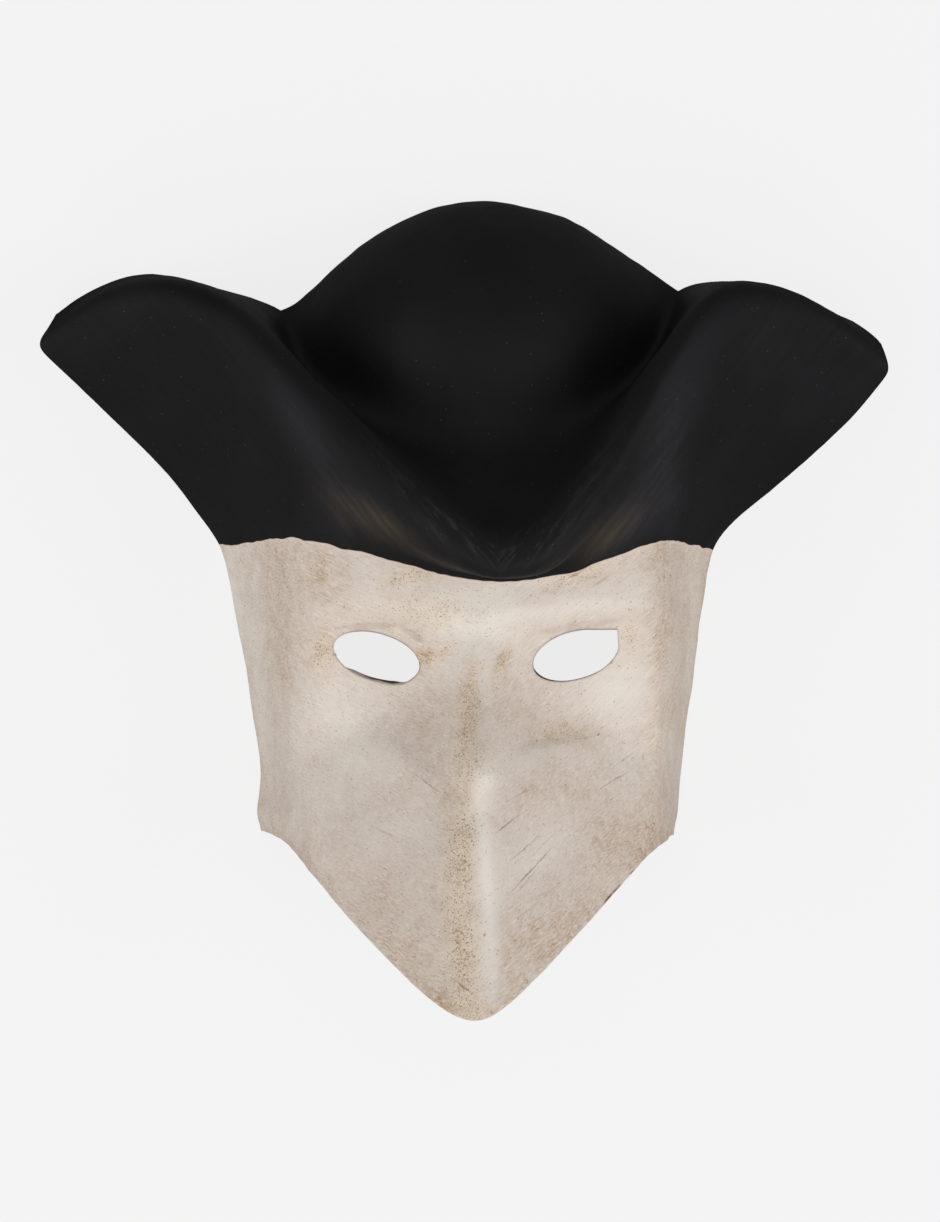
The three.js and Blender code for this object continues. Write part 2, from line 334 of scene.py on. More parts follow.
def faceHeight(x, y):
    apart = np.abs(x)
    arch = np.sin(math.pi * clamp((apart - face["browFrom"]) / face["browLong"]))
    browLine = face["browUp"] + face["browArch"] * arch
    forehead = face["foreheadForward"] + face["foreheadLean"] * (y - face["browUp"])
    cheek = face["cheekForward"] + face["cheekLean"] * y
    wide, tall = face["socketSize"]
    hollow = bump((apart - eyeHole["apart"] / 2) / wide) * bump((y - face["socketUp"]) / tall)
    base = mix(cheek, forehead, ease((y - browLine) / face["browStep"] + 0.5))
    base = base - face["socketDepth"] * hollow - face["acrossDrop"] * (apart / foldAcross(x, y)) ** 2
    front = softMax(base, prowHeight(x, y), prow["rootRound"])
    side = (rimAcross(x, y) - apart) * sideSlope(x, y)
    steep = np.maximum(1, sideSlope(x, y) / 3) ** 0.7  # the same roundness where the side stands up more
    return softMin(front, side, face["foldRound"] * steep)


def faceAcross(u, y):
    s = np.abs(u)
    fold = foldAcross(u, y)
    end = rimAcross(u, y)
    toFold = fold * (s / foldShare) ** gather
    out = np.where(s <= foldShare, toFold, mix(fold, end, (s - foldShare) / (1 - foldShare)))
    return np.sign(u) * out


def chinEdgeUp(x):
    roundness = mix(*prow["chinRound"], ease(x / prow["chinWide"] + 0.5))
    edge = prow["chinUp"] + roundedV(x - prow["chinLean"], roundness)
    return softMin(edge, face["cornerUp"] - np.where(x < 0, *face["cornerDrop"]), face["cornerSoft"])


def paintUp(x, u):
    rise = ease((np.abs(x - hat["paintMiddle"]) / halfValue(u, "paintReach")) ** halfValue(u, "paintTurn"))
    dip = hat["paintDip"] * ease((np.abs(x) - hat["paintDipFrom"]) / hat["paintDipRun"])
    return hat["paintUp"] + halfValue(u, "paintRise") * rise - dip


def meet(u, line):
    # where each column meets a line, found by going back and forth between the two
    y = np.zeros_like(u)
    for _ in range(12):
        y = line(faceAcross(u, y))
    return y


# The rails of the hat

def crest(u):
    half = left if u < 0 else right
    s = abs(u)
    x0, y0, z0 = hat["front"]
    xTop, yTop = half["crestTop"]
    xTip, yTip, zTip = half["horn"]
    if s < notchShare:
        x = mix(x0, half["shoulder"], (s / notchShare) ** gather)
    else:
        x = mix(half["shoulder"], xTip, (s - notchShare) / (1 - notchShare))
    once = ease(max(0, (x - x0) / (xTop - x0)) ** half["crestBias"])
    past = (x - xTop) / (xTip - xTop)
    y = mix(y0, yTop, mix(once, ease(once), half["crestSteep"])) if past < 0 else mix(yTop, yTip, past**2)
    slope = (z0 - zTip) / roundedV(xTip - x0, hat["frontRound"])
    return np.array([x, y, z0 - slope * roundedV(x - x0, hat["frontRound"])])


def valleyTurn(u):
    return math.pi / 2 * min(1, abs(u) / notchShare) ** hat["valleyLag"]


def valley(u):
    half = left if u < 0 else right
    turn = valleyTurn(u)
    x0, y0, z0 = hat["valley"]
    x1, y1, z1 = half["notch"]
    side = min(1, math.sin(turn))
    up = 1 - math.sqrt(max(0, 1 - side ** hat["valleyCurl"]))
    forward = max(0, math.cos(turn)) ** hat["valleyRise"]
    return np.array([mix(x0, x1, side), mix(y0, y1, up), mix(z1, z0, forward)])


def smoothLine(points):
    # a spline through points, as a function of the share of the way along it
    p = np.array(points, float)
    p = np.vstack([2 * p[0] - p[1], p, 2 * p[-1] - p[-2]])

    def at(t):
        t = min(max(t, 0), 1) * (len(p) - 3)
        i = min(int(t), len(p) - 4)
        t -= i
        a, b, c, d = p[i : i + 4]
        square, cube = 2 * a - 5 * b + 4 * c - d, 3 * b - a - 3 * c + d
        return 0.5 * (2 * b + (c - a) * t + square * t**2 + cube * t**3)

    return at


backEdges = [smoothLine([half["notch"], *half["back"], half["hornBack"]]) for half in (left, right)]


def brimBack(u):
    if abs(u) <= notchShare:
        return valley(u)
    return backEdges[0 if u < 0 else 1]((abs(u) - notchShare) / (1 - notchShare))


def crownPoint(u, w):
    half = left if u < 0 else right
    turn = valleyTurn(u)
    foot = valley(u)
    xTop, yTop, zTop = hat["crownTop"]
    x = xTop + half["side"] * half["crownHalf"] * math.sin(turn)
    y = yTop - half["crownDrop"] * math.sin(turn) ** 2
    cap = np.sqrt(np.maximum(0, 1 - w ** hat["crownFull"]))
    belly = np.sin(math.pi * np.minimum(1, w * hat["crownBellyLow"]))
    belly = belly * hat["crownBelly"] * max(0, math.cos(turn))
    return np.stack([mix(foot[0], x, w), mix(foot[1], y, w), mix(zTop, foot[2], cap) + belly], -1)


def turnCorner(before, corner, after, radius, steps):
    # an arc that turns a corner, with its middle at the corner itself, on less than half of the shorter side
    back, on = before - corner, after - corner
    shorter = min(np.linalg.norm(back), np.linalg.norm(on))
    back, on = unit(back), unit(on)
    half = math.acos(np.clip(back @ on, -1, 1)) / 2
    r = min(radius, 0.45 * shorter * math.tan(half))
    inward, along = unit(back + on), unit(on - back)
    turn = (math.pi / 2 - half) * np.linspace(-1, 1, steps + 1)[:, None]
    return corner + r * inward - r * np.cos(turn) * inward + r * np.sin(turn) * along


def hatColumn(u, below, join):
    # a column above the face: round under the brim, up the panel, over the crest and down to the back
    half = left if u < 0 else right
    s = abs(u)
    peak, back = crest(u), brimBack(u)
    lower = turnCorner(below, join, peak, hat["junctionRound"], detail["junction"])
    if s < notchShare:
        roundness = mix(crestRound["front"], crestRound["shoulder"], ease(s / notchShare))
    else:
        roundness = mix(crestRound["shoulder"], crestRound["horn"], (s - notchShare) / (1 - notchShare))
    over = turnCorner(join, peak, back, roundness, detail["crest"])
    chord = peak - join
    inward = unit(np.array([-chord[1] * half["side"], chord[0] * half["side"], 0]))
    t = (np.arange(1, detail["panel"] + 1) / (detail["panel"] + 1))[:, None]
    armpitAt, armpitSize = hat["armpitUp"]
    bow = half["edgeArmpit"] * bump((t - armpitAt) / armpitSize) + half["edgeBelly"] * np.sin(math.pi * t)
    bow = (bow + half["edgeTwist"] * np.sin(2 * math.pi * t)) * s ** hat["edgeOnly"]
    away = (peak - back) - chord * ((peak - back) @ chord) / (chord @ chord)
    (start, startRun), (end, endRun) = hat["bulgeFrom"], hat["bulgeTo"]
    bulge = hat["panelBulge"] * ease((s - start) / startRun) * ease((end - s) / endRun)
    bulge = bulge * np.sin(math.pi * t ** hat["bulgeHigh"])
    panel = mix(lower[-1], over[0], t) + bow * inward + bulge * unit(away)
    rows = [lower[1:], panel, over]
    inside = s < notchShare + 1e-9
    t = (np.arange(1, detail["trough"] + 1) / (detail["trough"] + 1))[:, None]
    sag = np.zeros(3)
    sag[2] = hat["troughSag"] * max(0, math.cos(valleyTurn(u)))
    if inside:
        footTop = crownPoint(u, hat["crownFoot"])
        foot = turnCorner(peak, back, footTop, hat["valleyRound"], detail["valley"])
        start = hat["crownFoot"] * np.linalg.norm(foot[-1] - back) / np.linalg.norm(footTop - back)
        w = mix(start, 1, np.sin(math.pi / 2 * np.arange(1, detail["crown"] + 1) / detail["crown"]))
        rows += [mix(over[-1], foot[0], t) - sag * np.sin(math.pi * t), foot, crownPoint(u, w)]
    else:
        last = detail["valley"] // 2 + 1
        end = (np.arange(1, last + 1) / last)[:, None]
        near = mix(over[-1], back, 0.9)
        rows += [mix(over[-1], near, t), mix(near, back, end)]
    return np.vstack(rows)


# The grid of the skin

def columnShares():
    wing = notchShare + (1 - notchShare) * np.arange(1, detail["wing"] + 1) / detail["wing"]
    middle = notchShare * np.arange(-detail["middle"], detail["middle"] + 1) / detail["middle"]
    return np.concatenate([-wing[::-1], middle, wing])


def eyeCentre(side):
    return np.array([side * eyeHole["apart"] / 2, eyeHole["up"][side > 0]])


def eyeOutline(side):
    # the outline of one eye hole in plan, and the sharp corners that the knife left on it
    count = eyeHole["outline"] + 1
    turn = np.linspace(0, 2 * math.pi, count)[:-1]
    a, b = eyeHole["length"] / 2, eyeHole["height"] / 2
    tilt = math.radians(eyeHole["tilt"]) * side
    x = a * np.cos(turn) * math.cos(tilt) - b * np.sin(turn) * math.sin(tilt)
    y = a * np.cos(turn) * math.sin(tilt) + b * np.sin(turn)
    if side > 0:
        x1, y1 = eyeTrim["corner"]
        x0 = eyeTrim["squareFrom"]
        square = (np.sin(turn) > 0) & (x > x0)
        y = np.where(square, y1, y)
        x = np.where(square, x0 + (x - x0) * (x1 - x0) / (x[square].max() - x0), x)
        corners = [(x1, y1), (x1, eyeTrim["end"])]
    else:
        x1, y1 = eyeTrim["point"]
        under = np.interp(x1, x[np.sin(turn) < 0], y[np.sin(turn) < 0])
        reach = np.minimum(ease((x - x1) / eyeTrim["run"] + 1), clamp((x1 - x) / eyeTrim["back"] + 1))
        y = np.where(np.sin(turn) < 0, y + (y1 - under) * reach, y)
        corners = [(x1, y1)]
    centre = eyeCentre(side)
    outline = np.stack([np.append(x, x[0]), np.append(y, y[0])], -1) + centre
    run = np.insert(np.cumsum(np.linalg.norm(np.diff(outline, axis=0), axis=-1)), 0, 0)
    even = np.linspace(0, run[-1], count)[:-1]
    return np.stack([np.interp(even, run, outline[:, k]) for k in (0, 1)], -1), np.array(corners) + centre


def insideOf(points, outline):
    x, y = points[..., 0, None], points[..., 1, None]
    ax, ay = outline[:, 0], outline[:, 1]
    bx, by = np.roll(ax, -1), np.roll(ay, -1)
    crosses = (ay > y) != (by > y)
    at = ax + (y - ay) * (bx - ax) / np.where(by == ay, 1e-9, by - ay)
    return (np.sum(crosses & (x < at), -1) % 2).astype(bool)


def rimLoop(gone):
    # the grid points round the cells that are cut out, in order
    sides = {
        (0, -1): ((0, 0), (1, 0)),
        (1, 0): ((1, 0), (1, 1)),
        (0, 1): ((1, 1), (0, 1)),
        (-1, 0): ((0, 1), (0, 0)),
    }
    following = {}
    for c, r in np.argwhere(gone).tolist():
        for (dc, dr), (a, b) in sides.items():
            if not gone[c + dc, r + dr]:
                following[c + a[0], r + a[1]] = (c + b[0], r + b[1])
    loop = [next(iter(following))]
    while following[loop[-1]] != loop[0]:
        loop.append(following[loop[-1]])
    return np.array(loop)


def openEyes(plan):
    # pulls the grid onto the outlines of the eye holes, and gives the cells cut out and the way into the hole
    # at its rim
    cut = np.zeros((plan.shape[0] - 1, plan.shape[1] - 1), bool)
    intoHole = np.zeros_like(plan)
    for side in (-1, 1):
        outline, corners = eyeOutline(side)
        count = len(outline)
        centre = eyeCentre(side)
        near = np.argwhere(np.abs(plan - centre).max(-1) < eyeGrid["around"])
        c0, r0 = near.min(0)
        c1, r1 = near.max(0) + 1
        spot = plan[c0:c1, r0:r1]
        inside = insideOf(spot, outline)
        within = inside[:-1, :-1].astype(int) + inside[1:, :-1] + inside[:-1, 1:] + inside[1:, 1:]
        gone = within >= 3  # corners of the cell
        cut[c0 : c1 - 1, r0 : r1 - 1] |= gone

        # the rim's points go to the outline, as evenly apart as its sharp corners let them
        loop = rimLoop(gone)
        rim = loop[:, 0], loop[:, 1]
        gap = ((outline[None] - spot[rim][:, None]) ** 2).sum(-1)
        along = np.unwrap(gap.argmin(1).astype(float), period=count)
        held = np.zeros(len(loop), bool)
        for corner in corners:
            target = ((outline - corner) ** 2).sum(-1).argmin()
            short = (target - along + count / 2) % count - count / 2
            nearest = np.abs(short).argmin()
            along[nearest] += short[nearest]
            held[nearest] = True
        for _ in range(easing["eyeRim"]):
            before, after = np.roll(along, 1), np.roll(along, -1)
            before[0] -= count
            after[-1] += count
            along = np.where(held, along, (before + 2 * along + after) / 4)
        numbers = np.arange(count)
        spot[rim] = np.stack([np.interp(along, numbers, outline[:, k], period=count) for k in (0, 1)], -1)
        way = unit(np.roll(spot[rim], -1, 0) - np.roll(spot[rim], 1, 0))
        intoHole[c0:c1, r0:r1][rim] = np.stack([-way[:, 1], way[:, 0]], -1)

        fixed = np.zeros(inside.shape, bool)
        fixed[rim] = True
        fixed |= inside
        for _ in range(easing["eyeGrid"]):
            own = spot[1:-1, 1:-1]
            mean = (spot[2:, 1:-1] + spot[:-2, 1:-1] + spot[1:-1, 2:] + spot[1:-1, :-2]) / 4
            free = ~fixed[1:-1, 1:-1]
            reach = bump(np.linalg.norm(own - centre, axis=-1, keepdims=True) / eyeGrid["reach"])
            own += np.where(free[..., None], (mean - own) * eyeGrid["step"] * reach, 0)
    return cut, intoHole


def makeSkin():
    shares = columnShares()
    count = len(shares)
    low = meet(shares, chinEdgeUp)
    high = meet(shares, lambda x: paintUp(x, shares))
    rows = np.linspace(0, 1, detail["face"] + 1)
    top = high - hat["junctionRound"] * hat["joinBelow"]
    y = mix(low[:, None], top[:, None], rows[None, :])
    x = faceAcross(shares[:, None] + 0 * y, y)
    plan = np.stack([x, y], -1)
    cut, intoHole = openEyes(plan)
    z = faceHeight(plan[..., 0], plan[..., 1])
    faces = np.concatenate([plan, z[..., None]], -1)

    joinX = faceAcross(shares, high)
    joins = np.stack([joinX, high, faceHeight(joinX, high)], -1)
    columns = [np.vstack([faces[c], hatColumn(shares[c], faces[c, -1], joins[c])]) for c in range(count)]
    tall = max(len(c) for c in columns)
    grid = np.full((count, tall, 3), np.nan)
    for c, column in enumerate(columns):
        grid[c, : len(column)] = column

    # ease the hat, along the columns and then also across them
    first = detail["face"] - 2
    for turn in range(easing["hat"]):
        part = grid[:, first:]
        along = part.copy()
        inner = (part[:, :-2] + 2 * part[:, 1:-1] + part[:, 2:]) / 4
        along[:, 1:-1] = np.where(np.isnan(inner), part[:, 1:-1], inner)
        if turn >= easing["hatAcrossFrom"]:
            inner = (along[:-2] + 2 * along[1:-1] + along[2:]) / 4
            across = along.copy()
            across[1:-1, 1:] = np.where(np.isnan(inner[:, 1:]), along[1:-1, 1:], inner[:, 1:])
            along = across
        grid[:, first:] = along

    # the lower part of the panels is drawn tight, so that the folds of the face run out in it
    firstPanel = detail["face"] + detail["junction"]
    part = grid[:, firstPanel : firstPanel + int(detail["panel"] * easing["panelShare"])]
    for _ in range(easing["panel"]):
        part[1:-1, 1:-1] = (part[:-2, 1:-1] + part[2:, 1:-1] + part[1:-1, :-2] + part[1:-1, 2:]) / 4

    live = ~np.isnan(grid[..., 0])
    solid = live[:-1, :-1] & live[1:, :-1] & live[1:, 1:] & live[:-1, 1:]
    solid[:, : cut.shape[1]] &= ~cut
    print("skin:", grid.shape[0], "columns,", cut.sum(), "cells cut out for the eyes")
    return intoHole, grid, live, solid


def gridNormals(grid, solid):
    safe = np.nan_to_num(grid)
    a, b, c, d = safe[:-1, :-1], safe[1:, :-1], safe[1:, 1:], safe[:-1, 1:]
    normal = np.cross(c - a, d - b) * solid[..., None]
    total = np.zeros_like(safe)
    total[:-1, :-1] += normal
    total[1:, :-1] += normal
    total[1:, 1:] += normal
    total[:-1, 1:] += normal
    return unit(total)


def spread(values, live, passes):
    # blurs a value over the grid, inside what is there
    values = np.where(live if values.ndim == 2 else live[..., None], values, 0)
    weight = live.astype(float)
    for _ in range(passes):
        for axis in (0, 1):
            w = weight + 0
            v = values * (weight if values.ndim == 2 else weight[..., None])
            total, share = v * 2, w * 2
            for step in (1, -1):
                shift = np.roll(v, step, axis)
                bring = np.roll(w, step, axis)
                edge = [slice(None)] * 2
                edge[axis] = 0 if step == 1 else -1
                shift[tuple(edge)] = 0
                bring[tuple(edge)] = 0
                total = total + shift
                share = share + bring
            share = np.maximum(share, 1e-9)
            values = total / (share if values.ndim == 2 else share[..., None])
    return values


def swell(points, size, seed):
    # a smooth random field, about as wide as size from one rise to the next, between about -1 and 1
    random = np.random.default_rng(seed)
    waves = 28
    total = np.zeros(points.shape[:-1])
    for _ in range(waves):
        way = unit(random.normal(size=3))
        long = size * random.uniform(0.8, 1.9)
        start = random.uniform(0, 2 * math.pi)
        total += np.cos(points @ way * 2 * math.pi / long + start)
    return total / math.sqrt(waves / 2) / 1.6


def bridgeInside(inner, outer, wall, used):
    # behind a sharp crest the paper bridges the corner, so the inside is eased where the wall stays thick
    for _ in range(shell["bridgePasses"]):
        for axis in (1, 0):
            line, there = inner.swapaxes(0, axis), used.swapaxes(0, axis)
            moved = line.copy()
            moved[1:-1] = (line[:-2] + 2 * line[1:-1] + line[2:]) / 4
            better = np.zeros(there.shape, bool)
            better[1:-1] = there[:-2] & there[1:-1] & there[2:]
            better &= np.linalg.norm(moved - outer.swapaxes(0, axis), axis=-1) > wall.swapaxes(0, axis)
            inner = np.where(better[..., None], moved, line).swapaxes(0, axis)
    return inner


def openSides(cells):
    # the sides that only one cell has, running the way round that the cell does
    edges = {}
    for cell in cells.tolist():
        for i in range(4):
            pair = (cell[i], cell[(i + 1) % 4])
            if edges.pop((pair[1], pair[0]), None) is None:
                edges[pair] = True
    return np.array(list(edges))


# Where the outside, the inside and the cut edges lie apart on the sheet of the map
sheet = {
    "margin": 0.012,
    "outsideHigh": 0.97,
    "outsideWide": 0.7,
    "insideAt": (0.735, 0.012),
    "insideWide": 0.25,
    "rings": (0, 0.45, 0.9, 2.16, 2.61, 3.06),  # millimetres out from the edge
}
farAway = 99.0
broadPasses = 90


def makeShell():
    intoHole, grid, live, solid = makeSkin()
    used = np.zeros(live.shape, bool)
    for dc in (0, 1):
        for dr in (0, 1):
            used[dc : dc + solid.shape[0], dr : dr + solid.shape[1]] |= solid
    safe = np.nan_to_num(grid)
    normal = gridNormals(safe, solid)
    size, stray = shell["unevenSize"], shell["unevenness"]
    uneven = swell(safe, size, 3) * stray + swell(safe, size / 3, 4) * stray * 0.3
    outer = safe + normal * uneven[..., None]
    normal = gridNormals(outer, solid)
    wall = shell["wall"] + swell(safe, size * 0.8, 5) * shell["wallStray"]
    inner = bridgeInside(outer - normal * wall[..., None], outer, wall, used)

    # the cut edges
    rows = grid.shape[1]
    first = np.argwhere(solid) @ (rows, 1)
    cells = np.stack([first, first + rows, first + rows + 1, first + 1], -1)
    edges = openSides(cells)
    inner = np.ascontiguousarray(inner)
    flatOuter, flatInner, flatNormal = (v.reshape(-1, 3) for v in (outer, inner, normal))
    outward = np.zeros_like(flatOuter)
    run = unit(flatOuter[edges[:, 1]] - flatOuter[edges[:, 0]])
    for end in (0, 1):
        np.add.at(outward, edges[:, end], np.cross(run, flatNormal[edges[:, end]]))
    border = np.unique(edges)
    t, n = unit(outward[border]), flatNormal[border]
    o, i = flatOuter[border].copy(), flatInner[border].copy()
    toEyes = [np.linalg.norm(o[:, :2] - eyeCentre(side), axis=-1) for side in (-1, 1)]
    atEye = np.minimum(*toEyes) < eyeHole["length"]
    x, y = o[:, 0], o[:, 1]
    lowerEdge = np.where(x < 0, ease((leaned["from"] - x) / leaned["fromRun"]), 1)
    lowerEdge = ease((leaned["under"] - y) / leaned["underRun"]) * lowerEdge
    # the knife cut the eye holes straight back, and leaned where some of the edge shows
    straight = np.zeros_like(safe)
    straight[:, : intoHole.shape[1], :2] = intoHole
    straight = straight.reshape(-1, 3)[border]
    t = np.where(atEye[:, None], unit(straight - n * (straight * n).sum(-1, keepdims=True)), t)
    shows = np.where(x < 0, *leaned["shows"]) * lowerEdge
    i[atEye, :2] = (o + straight * shows[:, None])[atEye, :2]
    radius = shell["edgeRound"]
    bend = radius * (1 - math.sqrt(0.5))
    flatOuter[border] = o - t * radius
    flatInner[border] = i - t * radius
    rings = [o - t * bend - n * bend, o - n * radius, i + n * radius, i - t * bend + n * bend]

    # maps
    width = np.nanmean(np.linalg.norm(np.diff(grid, axis=0), axis=-1), axis=1)
    height = np.nanmean(np.linalg.norm(np.diff(grid, axis=1), axis=-1), axis=0)
    across, up = np.insert(np.cumsum(width), 0, 0), np.insert(np.cumsum(height), 0, 0)
    flat = np.stack(np.meshgrid(across, up, indexing="ij"), -1).reshape(-1, 2)
    big = min(sheet["outsideHigh"] / up[-1], sheet["outsideWide"] / across[-1])
    outMap = sheet["margin"] + flat * big
    inMap = sheet["insideAt"] + flat * (sheet["insideWide"] / across[-1])
    way = flat[edges[:, 1]] - flat[edges[:, 0]]
    mapOut = np.zeros_like(flat)
    for end in (0, 1):
        np.add.at(mapOut, edges[:, end], unit(np.stack([way[:, 1], -way[:, 0]], -1)))
    mapOut = unit(mapOut[border])

    # numbers: outer vertices, inner vertices, then the rings of the edges
    number = np.full(live.size, -1)
    inUse = np.flatnonzero(used.ravel())
    number[inUse] = np.arange(len(inUse))
    edgeNumber = np.full(live.size, -1)
    edgeNumber[border] = np.arange(len(border))
    count = len(inUse)
    points = np.vstack([flatOuter[inUse], flatInner[inUse], *rings])
    faces = [number[cells], number[cells][:, ::-1] + count]
    maps = [outMap[cells], inMap[cells][:, ::-1]]

    def ringOf(keys, k):
        if k in (0, 5):
            return number[keys] + (count if k == 5 else 0)
        return 2 * count + (k - 1) * len(border) + edgeNumber[keys]

    def placeOf(keys, k):
        return outMap[keys] + mapOut[edgeNumber[keys]] * sheet["rings"][k] * big

    a, b = edges[:, 0], edges[:, 1]
    for k in range(5):
        faces.append(np.stack([ringOf(a, k), ringOf(a, k + 1), ringOf(b, k + 1), ringOf(b, k)], -1))
        maps.append(np.stack([placeOf(a, k), placeOf(a, k + 1), placeOf(b, k + 1), placeOf(b, k)], 1))
    faces, maps = np.vstack(faces), np.vstack(maps)

    # what the paint needs to know at each point
    length = np.zeros(live.shape)
    length[:, 1:] = np.cumsum(np.linalg.norm(np.diff(outer, axis=1), axis=-1) * live[:, 1:], axis=1)
    join = detail["face"] + detail["junction"] // 2
    peak = detail["face"] + detail["junction"] + detail["panel"] + detail["crest"] // 2 + 1
    values = {
        "hatReach": length - length[:, join : join + 1],
        "crestAway": length - length[:, peak : peak + 1],
        "broadRelief": ((outer - spread(outer, used, broadPasses)) * normal).sum(-1),
    }
    facts = {}
    for name, value in values.items():
        flatValue = value.ravel()
        facts[name] = np.concatenate([flatValue[inUse], flatValue[inUse], *[flatValue[border]] * 4])
    rimPoints = o[~atEye]
    rimAway = np.concatenate(
        [
            np.sqrt(((flatOuter[some][:, None] - rimPoints[None]) ** 2).sum(-1).min(1))
            for some in np.array_split(inUse, 20)
        ]
    )
    rimOwn = np.where(atEye, farAway, 0.0)
    facts["rimAway"] = np.concatenate([rimAway, rimAway, *[rimOwn] * 4])
    bareEdge = np.where(x < 0, ease((x - leaned["bareFrom"]) / leaned["bareRun"]), 1) * lowerEdge
    bareEdge = np.where(atEye, bareEdge, 1.0)
    facts["bareEdge"] = np.concatenate([np.zeros(2 * count), *[bareEdge] * 4])
    # 0 on the outside and 1 on the inside, with the four rings of the edge between
    facts["within"] = np.repeat([0.0, 1.0, 0.0, 0.3, 0.7, 1.0], [count] * 2 + [len(border)] * 4)
    facts.update(wearOf(points, facts))
    return points, faces, maps, facts


# Where use has marked the mask, and where light and shade are painted on it: the marks of stains also hold
# painted shade, the pale marks are mostly painted light, and the marks on the crests and wing tops of the hat
# are painted sheen. Each gives middle, size both ways, turn in degrees and strength
wear = {
    "stainAndShade": [
        ((-51, 2), (4.5, 5.5), 0, 0.45),
        ((-17, -1), (4, 3), 20, 0.6),
        ((8, -3), (2.2, 5), -24, 0.5),
        ((-2.2, -16), (2.8, 13), -5, 0.35),
        ((-20, -32), (11, 12), -40, 0.2),
        ((-34, -45), (14, 9), 0, 0.2),
        ((36, -44), (11, 12), 0, 0.25),
        ((8, -16), (5, 12), 0, 0.25),
        ((29, -24.5), (10, 3.5), 4, 0.16),
        ((15, -21), (9, 12), 0, 0.1),
        ((-14, -20), (13, 12), 0, 0.15),
        ((34, 25), (11, 4), 15, 0.4),
        ((-51, 27), (9, 9), 0, 0.6),
        ((-5, -101), (6, 11), 0, 0.2),
        ((21, -88), (14, 8), 20, 0.42),
        ((-31, -82), (17, 10), -30, 0.2),
        ((-11, -110), (8, 3.5), -42, 0.38),
        ((-14, -74), (8, 18), -6, 0.2),
        # painted shade under the nose tip
        ((-3, -44.5), (9, 3), 0, 0.3),
        ((-63, -63), (10, 7), -45, 0.15),
        ((-1, -113.5), (15, 3), 0, 0.12),
        ((58, -62), (8, 5), 45, 0.3),
        ((16, -46), (12, 6), 30, 0.3),
        ((47, -62), (9, 12), 30, 0.32),
        ((42, -66), (16, 10), 45, 0.15),
        ((-40, -68), (14, 9), -45, 0.15),
        ((-20, -97), (14, 5), -45, 0.3),
        ((30, -88), (16, 5), 45, 0.2),
        ((-48, -74), (10, 8), -45, 0.2),
        # painted shade on the lit side of the chin
        ((9, -102), (6, 9), -20, 0.35),
        ((-8, -50), (5, 8), 0, 0.4),
        ((-71, -50), (10, 12), 0, 0.1),
        ((62, -54), (10, 14), 0, 0.34),
        ((78, 0), (13, 50), 0, 0.3),
        ((-80, 10), (14, 60), 0, 0.15),
        # painted shade along the folds where the cheeks turn back
        ((-62, 2), (7, 42), 4, 0.4),
        ((61.5, 2), (5, 42), -2, 0.4),
        ((58, 30), (8, 7), 0, 0.3),
    ],
    "cracked": [
        ((-4.5, -62), (4.2, 17), -4, 0.8),
        ((-4.8, -92), (5.2, 22), 3, 0.85),
        ((-2.5, -19), (3.6, 15), -6, 0.75),
        ((8.5, -3.5), (1.8, 7), -24, 0.65),
        ((-14, 0), (9, 3), 20, 0.5),
        ((-18, 12), (20, 4), 0, 0.25),
        ((-2, -36), (7, 6), 0, 0.6),
        ((-12, 16), (15, 5), 0, 0.4),
        ((-76, 0), (9, 45), 0, 0.15),
        ((76, 0), (10, 45), 0, 0.2),
        ((27, -25.5), (9, 3.6), 2, 0.5),
        ((-2, -112), (15, 4), 0, 0.3),
        ((-20, 27), (14, 3), 20, 0.6),
        ((-51, 0), (4, 8), 0, 0.6),
        ((51, 6), (3, 7), 0, 0.5),
        ((34, 27), (14, 3.5), 20, 0.5),
    ],
    # painted sheen: broad grey highlights on the face side of the crests and along the tops of the wings
    "paintedSheen": [
        ((-55, 70), (24, 6), -57, 0.6),
        ((-38, 48.5), (15, 6), -37, 0.9),
        ((-43, 44), (10, 6), -20, 0.35),
        ((64, 74), (25, 7), 72, 0.55),
        ((50, 44), (15, 6.5), 42, 1),
        ((61, 55), (8, 15), 0, 0.5),
        ((-100, 121), (22, 2), 8, 0.3),
        ((108, 119), (22, 2), -12, 0.3),
        ((-44, 40), (2.5, 9), 12, 0.25),
        ((66, 44), (2.5, 10), -8, 0.25),
    ],
    "worn": [
        ((-31, 43.5), (13, 3.6), -33, 0.9),
        ((-42, 47), (12, 4), -40, 0.4),
        ((42, 38.5), (9, 3.6), 38, 0.9),
        ((50, 45), (8, 4), 48, 0.35),
    ],
    # mostly painted light: highlights on the nose tip, down the ridge and on the brow, and lit patches
    # between the eyes, on the cheeks and along the folds and rims, with less wax under them
    "pale": [
        ((-42, -26), (15, 16), -20, 0.55),
        ((47, -36), (12, 9), 0, 0.35),
        ((46, -12), (12, 10), 0, 0.45),
        ((30, 15), (22, 3), 6, 0.45),
        ((2.8, -39), (4, 5.5), 10, 1),
        ((3.2, -70), (2.8, 28), 4, 1),
        ((3.6, -100), (3.6, 14), 0, 0.5),
        ((-3, 6), (10, 10), 0, 0.6),
        ((-6, 17), (12, 5), 0, 0.55),
        ((-3, -53), (3.5, 5), 0, 0.5),
        ((4, 12), (10, 15), 0, 0.6),
        ((5, -10), (3, 12), 5, 0.25),
        ((28, 27), (16, 3.5), 15, 0.65),
        ((-86, 12), (6, 34), 4, 0.9),
        ((-75, 2), (3.5, 45), 2, 0.4),
        ((75, 0), (3.5, 45), 0, 0.4),
        ((20, -66), (12, 6), 40, 0.4),
        ((-60, -20), (3, 26), 0, 0.3),
    ],
}
